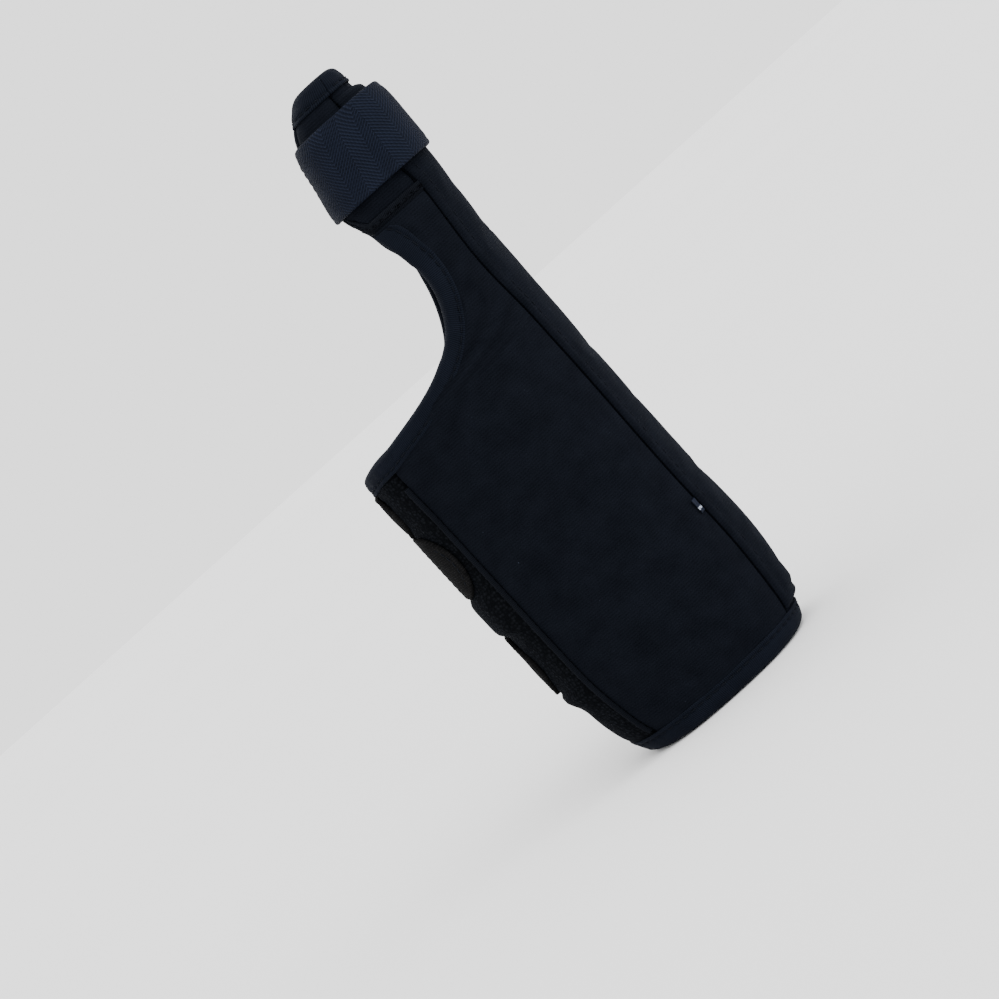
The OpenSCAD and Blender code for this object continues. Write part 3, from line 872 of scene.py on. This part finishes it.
def make_cover():
    """Padded channel down the thumb side, with a line of topstitching round its edge."""
    sides = shifted(seam_edge, 0.05), fixed(COVER_EDGE)
    patch = Patch(rows_of(COVER_BOTTOM, COVER_TOP, 2.0), *sides, 1.5)
    share = patch.across / patch.width
    stuffing = smooth(STUFFING, patch.z)
    crown = np.sin(np.radians(4 + 172 * share)) ** 0.68
    ends = rounded(np.minimum(patch.up, patch.down), 3.5)
    hem = 1 - 0.4 * bump(patch.edge(), 2.8, 1.2)
    wave = 0.09 * uneven(patch.place, 34, 61) + 0.05 * uneven(patch.place, 13, 62)
    rim = rounded(patch.edge(), 1.5)
    proud = 0.8 * rim + (2.4 * stuffing * crown * ends + wave * crown) * np.minimum(rim, hem)
    inner = 0.2 + 0.5 * crown * ends * stuffing
    part = patch.shell(-np.maximum(proud, inner + 0.25), -inner)
    part = swell(patch, part, 0.5, 4.0, 0.004)
    finish_piece(add_mesh("thumb_side_cover", *part), PANEL_CLOTH, "panel_cloth", "radial_cover")
    rows = []
    inset = 2.8
    for edge, side in zip(sides, (1, -1)):
        z = np.linspace(COVER_BOTTOM + inset, COVER_TOP - inset, 90)
        z, t = walk(z, edge(z), side * inset, 0.0)
        rows.append(stitch_part(Line(z, t, 1.0), -1.35))
    add_stitches("thumb_side_cover_stitching", rows)


def add_stitches(name, parts):
    """One piece of sewing thread from rows of stitches."""
    return finish_piece(add_mesh(name, *join_parts(parts)), THREAD, "binding")


PANELS = [
    "volar_padded_panel", "radial_padded_panel", "dorsal_padded_panel", "ulnar_loop_panel",
    "thumb_tube_panel",
]


def make_lining():
    """Brushed lining under every panel."""
    bottom, top = 1.6, 214.0
    lap = 1.2
    stretches = [
        (rows_of(bottom, CUFF_BOTTOM - 0.8, 4, [(121.5, 134, 0.9)]), shifted(palm_edge, 0.4),
         shifted(seam_edge, lap), 0.0),
        (rows_of(bottom, TROUGH_BOTTOM + 1, 4), shifted(seam_edge, -lap), fixed(SIDE_SEAM + lap), 0.15),
        (rows_of(bottom, TROUGH_BOTTOM + 1, 4, [(118, 134, 1.0)]), fixed(SIDE_SEAM - lap), back_edge, 0.0),
        (rows_of(bottom, ULNAR_TOP, 4), fixed(SPLIT_ULNAR), fixed(360 + PIPING + lap), 0.15),
        (rows_of(TROUGH_BOTTOM - 1, top, 3, [(176, 192, 1.2)]), shifted(seam_edge, -lap / 2), back_edge, 0.3),
    ]
    parts, area = [], 0.0
    for number, (rows, first, last, under) in enumerate(stretches):
        patch = Patch(rows, first, last, 3.2)
        full = rounded(patch.edge(), 1.0)
        middle = (LINING_OUT + LINING_IN) / 2 + under
        half = LINING_T / 2 * full
        puff = 0.25 * (1 - np.exp(-patch.edge() / 5)) + 0.15 * uneven(patch.place, 12, 71 + number)
        parts.append(patch.shell(middle - half, middle + half + puff))
        area += float((np.gradient(patch.z[:, 0]) * patch.width[:, 0]).sum())
    lining = finish_piece(add_mesh("sleeve_lining", *join_parts(parts)), LINING_CLOTH, "lining", "lining")


# --- Bindings ---


def make_binding(name, line, inner, node, seed, width=TAPE_W, cloth=BINDING_TAPE, slack=FOLD_OUT):
    """Tape folded over the edge along a line, with its row of stitches."""
    part = tape_part(line, inner, seed, width, slack)
    tape = finish_piece(add_mesh(name, *part), cloth, "binding", node)
    z, t = line.beside(width - STITCH_INSET)
    stitches = add_stitches(name + "_stitching", [stitch_part(Line(z, t, 0.7), -slack - 0.22)])
    return tape, stitches


def make_bindings():
    """Folded tape round the rim, the openings, the closing split and the thumb tip."""
    t = np.linspace(SPLIT_ULNAR - 360, SPLIT_DORSAL, 240)
    rim = Line(np.full(t.shape, RIM), t, TAPE_STEP)
    pieces = [make_binding("forearm_rim_binding", rim, LINING_IN, "forearm_binding", 101)]

    z = np.linspace(175.1, ULNAR_TOP, 260)
    z = z[palm_edge(z) > PIPING]
    over = np.linspace(PIPING, SPLIT_ULNAR + 6 - 360, 80)[1:]
    fall = np.clip((PIPING - over) / 46, 0, 1)
    t = np.concatenate([palm_edge(z), over])
    z = np.concatenate([z, z[-1] + (ULNAR_TOP - z[-1]) * fall * fall * (3 - 2 * fall)])
    even = Line(z, t, TAPE_STEP)
    palm = squared(Line(even.z, even.t, TAPE_STEP, ease=14), 6.0)
    pieces.append(make_binding("palm_opening_binding", palm, LINING_IN, "palm_binding", 111))

    z = np.linspace(119.5, 179, 240)
    hand = Line(z, back_edge(z), TAPE_STEP)
    pieces.append(make_binding("hand_opening_binding", hand, LINING_IN, "dorsal_hand_binding", 121))

    for name, edge, ends, node, seed in (
        ("split_binding_back", SPLIT_DORSAL, (7.6, 112), "closure_binding_dorsal", 131),
        ("split_binding_little_finger", SPLIT_ULNAR, (112, 7.6), "closure_binding_ulnar", 141),
    ):
        z = np.linspace(*ends, 120)
        line = Line(z, np.full(z.shape, float(edge)), TAPE_STEP)
        pieces.append(make_binding(name, line, LINING_IN, node, seed))

    t = np.linspace(TUBE_EDGE, float(seam_edge(CLOTH_END)) + 0.3, 120)
    tip = Line(np.full(t.shape, CLOTH_END), t, TAPE_STEP)
    pieces.append(make_binding("thumb_tip_tape", tip, PANEL_T, "thumb_tip_binding", 151))
    for piece in [one for pair in pieces for one in pair]:
        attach(piece, "root")


# --- Piping, label and seams ---


def make_piping():
    """Corded ridge along the little finger side of the palm."""
    low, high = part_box("ulnar_piping")
    z = np.linspace(low.z / MM, high.z / MM, 140)
    line = Line(z, np.full(z.shape, float(PIPING)), 0.9)
    turn = np.linspace(0, 2 * math.pi, 12, endpoint=False)
    w, depth = 0.85 * np.cos(turn), -0.25 + 0.75 * np.sin(turn)
    zz, tt = walk(line.z[:, None], line.t[:, None], line.into[:, :1] * w, line.into[:, 1:] * w)
    twist = 0.07 * np.sin(2 * math.pi * line.run / 2.6)[:, None]
    points = sleeve(zz, tt, depth + twist).reshape(-1, 3)
    part = tube_faces(points, len(line.z), len(turn), line.run, 0.8 * turn)
    piping = finish_piece(add_mesh("little_finger_piping", *part), DARK_TAPE, "binding", "ulnar_piping")
    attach(piping, "root")


def make_label():
    """Small folded woven label sewn into the thumb side seam."""
    low, high = box_of("care_label")
    z = rows_of(low.z, high.z, 0.5)
    patch = Patch(z, shifted(seam_edge, -6), shifted(seam_edge, -1), 0.5)
    lift = 0.35 + 0.5 * (1 - patch.across / patch.width) ** 2 + 0.08 * uneven(patch.place, 4, 161)
    thick = 0.22 * rounded(patch.edge(), 0.3)
    points, faces, weave = patch.shell(-lift - thick, -lift + thick)
    weave = weave - np.array([0, low.z])
    label = finish_piece(add_mesh("folded_label", points, faces, weave), LABEL_RIBBON, "label", "care_label")
    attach(label, "root")


# --- Stays and pockets ---


def make_stay(node, name, body):
    """Flat metal strip with round ends and eased edges."""
    low, high = box_of(node)
    half_w, half_t = (high.x - low.x) / 2, (high.y - low.y) / 2
    middle_x, middle_y = (high.x + low.x) / 2, (high.y + low.y) / 2
    ends = np.linspace(0, math.pi, 25)
    outline = np.concatenate([
        np.stack([half_w * np.cos(ends), high.z - half_w + half_w * np.sin(ends)], -1),
        np.stack([-half_w * np.cos(ends), low.z + half_w - half_w * np.sin(ends)], -1),
    ])
    centre = np.array([0, (low.z + high.z) / 2])
    ease = 0.45
    rings = []
    for inset, y in ((ease, -half_t), (0.12, -half_t + 0.15), (0, -half_t + ease),
                     (0, half_t - ease), (0.12, half_t - 0.15), (ease, half_t)):
        reach = outline - centre
        core = np.stack([np.zeros(len(reach)), np.clip(reach[:, 1], low.z + half_w - centre[1],
                                                       high.z - half_w - centre[1])], -1)
        away = reach - core
        ring = centre + core + away * (1 - inset / half_w)
        rings.append(np.stack([ring[:, 0] + middle_x, np.full(len(ring), y + middle_y), ring[:, 1]], -1))
    points = np.concatenate(rings)
    run = np.linspace(0, 1, len(outline))
    points, faces, _ = tube_faces(points, len(rings), len(outline), np.arange(len(rings)), run)
    weave = points[:, [0, 2]]
    stay = finish_piece(add_mesh(name, points, faces, weave), METAL, "stay_metal", node)
    edges = stay.modifiers.new("crisp_edges", "EDGE_SPLIT")
    edges.split_angle = math.radians(50)
    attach(stay, body)


def make_pocket(node, name):
    """Flat sleeve of cloth round a stay: two faces that meet in sewn hems, open at the top."""
    low, high = box_of(node)
    hem, wall = 1.5, 0.7
    half_w, half_t = (high.x - low.x) / 2, (high.y - low.y) / 2
    middle = np.array([(high.x + low.x) / 2, (high.y + low.y) / 2])
    lens = np.linspace(0, 2 * math.pi, 72, endpoint=False)
    heights = np.concatenate([[low.z + 0.15], np.arange(low.z + 1, high.z - 0.5, 3.0), [high.z - 0.05]])

    def section(scale_w, scale_t, closed):
        """Flat oval with thin hems at its sides."""
        x = scale_w * signed_power(np.cos(lens), 0.75)
        thin = np.clip((half_w - np.abs(x)) / (hem + 1.2), 0, 1) ** 0.6
        y = scale_t * signed_power(np.sin(lens), 0.35) * np.maximum(thin, 0.25) * closed
        return np.stack([x, y], -1)

    outer, inner = [], []
    for z in heights:
        closed = min(1.0, 0.35 + (z - low.z) / 5)
        ring = section(half_w, half_t, closed) + middle
        wave = 0.15 * uneven(np.c_[ring, np.full(len(ring), z)], 14, 171)
        outer.append(np.c_[ring[:, 0], ring[:, 1] + wave * (half_t > 1), np.full(len(ring), z)])
        hollow = section(half_w - hem, half_t - wall, closed) + middle
        inner.append(np.c_[hollow, np.full(len(hollow), max(z, low.z + wall))])
    points = np.concatenate([*outer, *inner[::-1]])
    count = 2 * len(heights)
    run = [0.0] + list(np.cumsum(np.abs(np.diff(np.r_[heights, heights[::-1]])) + 0.01))
    points, faces, weave = tube_faces(
        points, count, len(lens), run, np.linspace(0, 4 * half_w, len(lens)))
    faces = [face[::-1] for face in faces]
    pocket = finish_piece(add_mesh(name, points, faces, weave), POCKET_CLOTH, "pocket_cloth", node)
    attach(pocket, "root")


def make_thumb_stay():
    """Curved metal strip under the thumb side cover."""
    low, high = 16.0, 205.0
    half_angle = 12
    proud, half_t = 0.55, 0.3

    def centre(z):
        return (seam_edge(z) + SIDE_SEAM) / 2

    patch = Patch(rows_of(low, high, 4), shifted(centre, -half_angle), shifted(centre, half_angle), 1.5)
    full = rounded(patch.edge(), 0.4)
    part = patch.shell(-proud - half_t * full, -proud + half_t * full)
    stay = finish_piece(add_mesh("thumb_side_stay", *part), METAL, "stay_metal", "thumb_stay")
    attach(stay, "root")


# --- Straps ---

STRAP_SPLIT = 106
STRAP_START = SIDE_SEAM + 3
TAB_LAP = 3
# Angles at which each strap's webbing and its hook tab end
STRAP_ENDS = {"forearm": (168, 196), "middle": (178, 214), "wrist": (168, 196)}


def arm_strap_part(z, w, first, last, seed, free_end=False):
    """Strap between two angles: plush face, stitched hems and soft rounded edges."""
    w = w + 0.2
    rows = z - w / 2 + offsets(w, 1.4)
    patch = Patch(rows, fixed(first), fixed(last), 1.6)
    side = np.minimum(patch.up, patch.down)
    if free_end:
        side = np.minimum(side, patch.width - patch.across)
    full = np.maximum(rounded(side, 0.7), 0.5)
    ride = smooth(RIDE, patch.t)
    middle = ride + STRAP_T / 2
    hem = 0.22 * bump(side, 2.4, 0.6)
    cup = 0.25 * np.clip(1 - side / 5, 0, 1) ** 2
    wave = 0.22 * uneven(patch.place, 16, seed) * np.clip(side / 3, 0, 1)
    outer = middle + (STRAP_T / 2) * full - hem + wave - cup * 0.4
    inner = middle - (STRAP_T / 2) * full
    points, faces, weave = patch.shell(-outer, -inner)
    weave = weave - np.array([0, z])
    return points, faces, weave


def hook_tab_part(z, w, first, last, ride_of, clockwise=False, round_depth=None):
    """Hook tab with a round end and a stitched border, thinner than the strap it is sewn to."""
    half = w / 2 - 0.1
    rows = z + half * np.sin(np.radians(np.linspace(-89, 89, 34)))
    depth = round_depth or half / ARC_PER_DEGREE

    def end(heights):
        share = np.clip((heights - z) / half, -1, 1)
        reach = (1 - np.sqrt(1 - share * share)) * depth
        return last + reach if clockwise else last - reach

    patch = Patch(rows, end, fixed(first), 1.2) if clockwise else Patch(rows, fixed(first), end, 1.2)
    side = patch.edge()
    full = rounded(side, 0.7)
    ride = ride_of(patch.t)
    middle = ride + TAB_T / 2
    groove = 0.15 * bump(side, 2.0, 0.5)
    wave = 0.14 * uneven(patch.place, 11, 251) * np.clip(side / 2, 0, 1)
    outer = middle + (TAB_T / 2) * full - groove + wave
    points, faces, weave = patch.shell(-outer, -(middle - (TAB_T / 2) * full))
    return points, faces, weave - np.array([0, z])


def ride_height(t):
    return smooth(RIDE, t)


def make_arm_straps():
    """Three straps, each sewn down on the back and closed by its hook tab beyond the split."""
    for seed, (name, (z, w)) in enumerate(ARM_STRAPS.items(), 200):
        webbing_end, tab_end = STRAP_ENDS[name]
        span, tail = name + "_span", name + "_tail"
        part = arm_strap_part(z, w, STRAP_START, STRAP_SPLIT, seed)
        sewn = add_mesh(name + "_strap_sewn_half", *part)
        finish_piece(sewn, STRAP_CLOTH, "webbing", name + "_strap_anchor", name + "_strap")
        part = arm_strap_part(z, w, STRAP_SPLIT, webbing_end + 0.4, seed, free_end=True)
        free = add_mesh(name + "_strap_free_half", *part)
        finish_piece(free, STRAP_CLOTH, "webbing", name + "_strap_end")
        part = hook_tab_part(z, w, webbing_end - TAB_LAP, tab_end, ride_height)
        tab = finish_piece(add_mesh(name + "_strap_tab", *part), HOOK_TAPE, "hook_tape", name + "_hook_tab")

        box = add_stitches(name + "_strap_box_stitching", strap_box_stitches(z, w))
        rows = add_stitches(name + "_tab_stitching", tab_stitches(z, w, webbing_end, tab_end))
        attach(box, "root")
        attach(tab, tail)
        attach(rows, tail)
        length = arc_length(z, STRAP_START, STRAP_SPLIT)
        length = arc_length(z, STRAP_SPLIT, webbing_end)
        bend_over(sewn, z, LIFT_ANGLE)
        bend_over(free, z, PEEL_ANGLE)


def arc_length(z, first, last):
    """Distance round the sleeve between two angles."""
    t = np.linspace(first, last, 120)
    return float(np.linalg.norm(np.diff(sleeve(z, t), axis=0), axis=1).sum())


def bend_over(piece, z, angle, clockwise=False):
    """Bakes a piece's placement into its mesh; the piece is not bent round the hinge's angle."""
    before, after = sleeve(z, angle - 2.0), sleeve(z, angle + 2.0)
    ahead = (after - before) / np.linalg.norm(after - before)
    if clockwise:
        ahead = -ahead
    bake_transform(piece)


def strap_box_stitches(z, w):
    """Box with a cross, which sews the strap's end to the back panel."""
    first, last = SIDE_SEAM + 4.5, LIFT_ANGLE - 5
    low, high = z - w / 2 + 2.4, z + w / 2 - 2.4
    corners = [(low, first), (low, last), (high, last), (high, first)]
    sides = list(zip(corners, corners[1:] + corners[:1]))
    sides += [(corners[0], corners[2]), (corners[1], corners[3])]
    return [stitch_part(straight_line(a[0], a[1], b[0], b[1]), -2.08, 2.6, 1.9) for a, b in sides]


def tab_stitches(z, w, webbing_end, tab_end):
    """Two rows across the join of strap and hook tab, and one round the tab's end."""
    low, high = z - w / 2 + 2.2, z + w / 2 - 2.2
    rows = []
    for t in (webbing_end + 2.5, webbing_end - 2.0):
        proud = float(ride_height(t)) + (TAB_T if t > webbing_end else STRAP_T)
        rows.append(stitch_part(straight_line(low, t, high, t), -proud + 0.24, 2.4, 1.8))
    half = w / 2 - 0.5
    inset = 2.0
    turn = np.radians(np.linspace(-80, 80, 60))
    reach = (half - inset) / ARC_PER_DEGREE
    t = tab_end - half / ARC_PER_DEGREE + reach * np.cos(turn)
    line = Line(z + (half - inset) * np.sin(turn), t, 0.6)
    rows.append(stitch_part(line, -float(ride_height(tab_end)) - TAB_T + 0.28, 2.4, 1.8))
    return rows


# --- Thumb strap and flap ---

THUMB_LIFT = 6
THUMB_PEEL = -152
THUMB_ANCHOR = 70
THUMB_KNIT_END = -192
THUMB_TAB_END = -226
THUMB_SPLIT = -70
# What the climb over the thumb side cover adds to each half's length
SEWN_RISE = 4
FREE_RISE = 2


RIB_DEPTH = 0.10


def thumb_ride(t):
    """Height of the thumb strap over the sleeve: it runs up over the thumb side cover."""
    first, last = float(seam_edge(THUMB_Z)) - 8, SIDE_SEAM + 6
    share = np.clip((t - first) / (last - first), 0, 1)
    return 0.4 + 2.9 * np.sin(np.radians(180 * share)) ** 0.5


def thumb_strap_part(first, last, seed):
    """Herringbone knit elastic: raised diagonal ribs, plain selvages, a gently uneven face."""
    rows = THUMB_Z - THUMB_W / 2 + offsets(THUMB_W, 0.32)
    patch = Patch(rows, fixed(last), fixed(first), 0.34)
    side = np.minimum(patch.up, patch.down)
    full = rounded(side, 0.9)
    across = patch.across - (patch.width if last < THUMB_SPLIT else 0)
    x = np.mod(across, 2 * KNIT_COLUMN)
    fold = np.where(x > KNIT_COLUMN, 2 * KNIT_COLUMN - x, x)
    ribs = 0.5 + 0.5 * np.sin(2 * math.pi * (patch.z - THUMB_Z + fold) / KNIT_PITCH)
    knit = RIB_DEPTH * ribs * np.clip((side - 1.8) / 0.6, 0, 1)
    selvage = 0.12 * bump(side, 1.9, 0.3)
    wave = 0.14 * uneven(patch.place, 16, seed) * np.clip(side / 3, 0, 1)
    ride = thumb_ride(patch.t)
    middle = ride + STRAP_T / 2
    outer = middle + STRAP_T / 2 * full - RIB_DEPTH + knit - selvage + wave
    points, faces, weave = patch.shell(-outer, -(middle - STRAP_T / 2 * full))
    start = float((patch.across - across).max())
    return points, faces, weave - np.array([start, THUMB_Z])


def make_thumb_strap():
    """Knit strap sewn down behind the thumb, round its palm side to a hook tab."""
    sewn = add_mesh("thumb_strap_sewn_half", *thumb_strap_part(THUMB_ANCHOR, THUMB_SPLIT, 301))
    finish_piece(sewn, THUMB_KNIT, "thumb_knit", "thumb_strap_anchor", "thumb_strap")
    free = add_mesh("thumb_strap_free_half", *thumb_strap_part(THUMB_SPLIT, THUMB_KNIT_END, 301))
    finish_piece(free, THUMB_KNIT, "thumb_knit", "thumb_strap_end")
    part = hook_tab_part(
        THUMB_Z, THUMB_W, THUMB_KNIT_END + 4, THUMB_TAB_END, thumb_ride, clockwise=True, round_depth=24)
    tab = finish_piece(add_mesh("thumb_strap_tab", *part), HOOK_TAPE, "hook_tape", "thumb_hook_tab")
    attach(tab, "thumb_tail")
    low, high = THUMB_Z - THUMB_W / 2 + 2.2, THUMB_Z + THUMB_W / 2 - 2.2
    t = THUMB_KNIT_END + 3
    rows = [stitch_part(straight_line(low, t, high, t), -float(thumb_ride(t)) - STRAP_T + 0.1, 2.4, 1.8)]
    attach(add_stitches("thumb_tab_stitching", rows), "thumb_tail")
    t = THUMB_ANCHOR - 4
    rows = [stitch_part(straight_line(low, t + shift, high, t + shift),
                        -float(thumb_ride(t + shift)) - STRAP_T + 0.1, 2.4, 1.8) for shift in (0, -5)]
    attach(add_stitches("thumb_anchor_stitching", rows), "root")
    sewn_run = arc_length(THUMB_Z, THUMB_ANCHOR, THUMB_SPLIT) + SEWN_RISE
    free_run = arc_length(THUMB_Z, THUMB_SPLIT, THUMB_KNIT_END) + FREE_RISE
    bend_over(sewn, THUMB_Z, THUMB_LIFT, True)
    bend_over(free, THUMB_Z, THUMB_PEEL, True)


FLAP_HEM_W = 2.8
FLAP_SLANT_TOP = 185.5
FLAP_SLANT = 38


def make_thumb_flap():
    """Flap over the palm side of the thumb, bound at its lower and upper edges."""
    patch = Patch(rows_of(CUFF_BOTTOM + RIM, CLOTH_END, 1.3), flap_edge, shifted(seam_edge, -0.2), 1.3)
    tip = bump(patch.t, -174, 16) * bump(patch.z, 213, 4)
    corner = 0.35 * bump(patch.t, -158, 16) * bump(patch.z, 187, 3)
    flat_hem = 0.6 * bump(patch.up, 0, FLAP_HEM_W)
    puff = padding(patch, 401, crown=0.15) + fold_crease(patch) + tip + corner - flat_hem
    flap = make_panel("thumb_flap", "thumb_cuff", patch, puff, 0.4, free=3.0)
    bottom = CUFF_BOTTOM + RIM - 0.4
    z = np.linspace(187, bottom, 40)
    t = np.linspace(float(flap_edge(bottom)), float(seam_edge(bottom)) + 0.2, 90)[1:]
    even = Line(np.concatenate([z, np.full(t.shape, bottom)]), np.concatenate([flap_edge(z), t]), 0.5)
    low = Line(even.z, even.t, TAPE_STEP, ease=10)
    t = np.linspace(float(seam_edge(CLOTH_END)) - 0.6, CUFF_EDGE, 90)
    high = Line(np.full(t.shape, CLOTH_END), t, TAPE_STEP)
    hem = make_binding(
        "thumb_flap_hem", low, PANEL_T, "thumb_cuff_binding", 411, FLAP_HEM_W, DARK_TAPE, 0.05)
    top = make_binding("thumb_flap_tape", high, PANEL_T, "thumb_cuff_binding", 421)
    for piece in (flap, *hem, *top):
        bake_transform(piece)


def flap_edge(z):
    """Angle of the flap's free edge, which slants into its hem below the strap."""
    low = np.clip((FLAP_SLANT_TOP - np.asarray(z)) / (FLAP_SLANT_TOP - CUFF_BOTTOM), 0, 1)
    return CUFF_EDGE + FLAP_SLANT * low ** 1.4


def fold_crease(patch):
    """Small upright fold near the flap's top, where the cloth gathers over the thumb tip."""
    low, high, fade = 208, 217, 3
    inside = np.clip((patch.z - low) / fade, 0, 1) * np.clip((high - patch.z) / fade, 0, 1)
    return 0.5 * bump(patch.place[..., 0], 27.0, 1.1) * inside


# --- Stage ---


def make_floor():
    """Plain pale floor, just under the rim."""
    size, count = 3000.0, 8
    grid = np.linspace(-size, size, count)
    x, y = np.meshgrid(grid, grid)
    points = np.stack([x.ravel(), y.ravel(), np.full(x.size, -0.2)], -1)
    index = np.arange(x.size).reshape(x.shape)
    faces = np.stack([index[:-1, :-1], index[:-1, 1:], index[1:, 1:], index[1:, :-1]], -1).reshape(-1, 4)
    floor = add_mesh("floor", points, faces.tolist(), points[:, :2])
    paper = Recipe("floor_paper", 0.85, 0.1)
    paper.colours(paper.noise(400.0, 2.0), [(0.3, (0.755, 0.755, 0.755)), (0.7, (0.775, 0.775, 0.775))])
    floor.data.materials.append(paper.material)


def add_sun(name, place, power, softness, colour=(1, 1, 1)):
    """Very wide soft light that shines from a direction."""
    data = bpy.data.lights.new(name, "SUN")
    data.energy = power
    data.angle = math.radians(softness)
    data.color = colour
    light = bpy.data.objects.new(name, data)
    light.location = place
    light.rotation_euler = (-Vector(place)).to_track_quat("-Z", "Y").to_euler()
    bpy.context.scene.collection.objects.link(light)


def make_lights():
    """Even white surroundings with three soft lights."""
    world = bpy.data.worlds.new("studio")
    world.use_nodes = True
    world.node_tree.nodes["Background"].inputs["Color"].default_value = (1, 1, 1, 1)
    world.node_tree.nodes["Background"].inputs["Strength"].default_value = 1.9
    bpy.context.scene.world = world
    add_sun("key", (0.4, -0.7, 0.9), 2.4, 50)
    add_sun("side", (0.9, -0.35, 0.35), 1.15, 40, (0.93, 0.96, 1.0))
    add_sun("back", (-0.5, 0.7, 0.6), 1.05, 60)


def make_camera():
    """Long lens square to the palm, rolled so that the thumb points up and to the left."""
    data = bpy.data.cameras.new("camera")
    data.lens = 100
    data.sensor_width = 36
    camera = bpy.data.objects.new("camera", data)
    bpy.context.scene.collection.objects.link(camera)
    bpy.context.scene.camera = camera
    elevation, roll = math.radians(5.5), math.radians(41.9)
    target = Vector((-0.0138, -0.012, 0.0911))
    distance = 0.844
    back = Vector((0, -math.cos(elevation), math.sin(elevation)))
    side = Vector((1, 0, 0))
    up = back.cross(side)
    right = side * math.cos(roll) - up * math.sin(roll)
    top = side * math.sin(roll) + up * math.cos(roll)
    camera.matrix_world = matrix_of(right, top, back, target + back * distance)


def matrix_of(x, y, z, place):
    """Placement with the given axes and origin."""
    made = Matrix((x, y, z)).transposed().to_4x4()
    made.translation = place
    return made


make_camera()
make_panels()
make_cover()
make_lining()
make_bindings()
make_piping()
make_label()
make_stay("volar_stay", "palm_stay_strip", "stay")
make_stay("dorsal_stay", "back_stay_strip", "root")
make_thumb_stay()
make_pocket("volar_stay_pocket", "palm_stay_pocket")
make_pocket("dorsal_stay_pocket", "back_stay_pocket")
make_arm_straps()
make_thumb_strap()
make_thumb_flap()

for name in [*PANELS, "thumb_side_cover", "thumb_side_cover_stitching", "sleeve_lining"]:
    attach(bpy.data.objects[name], "root")

make_floor()
make_lights()
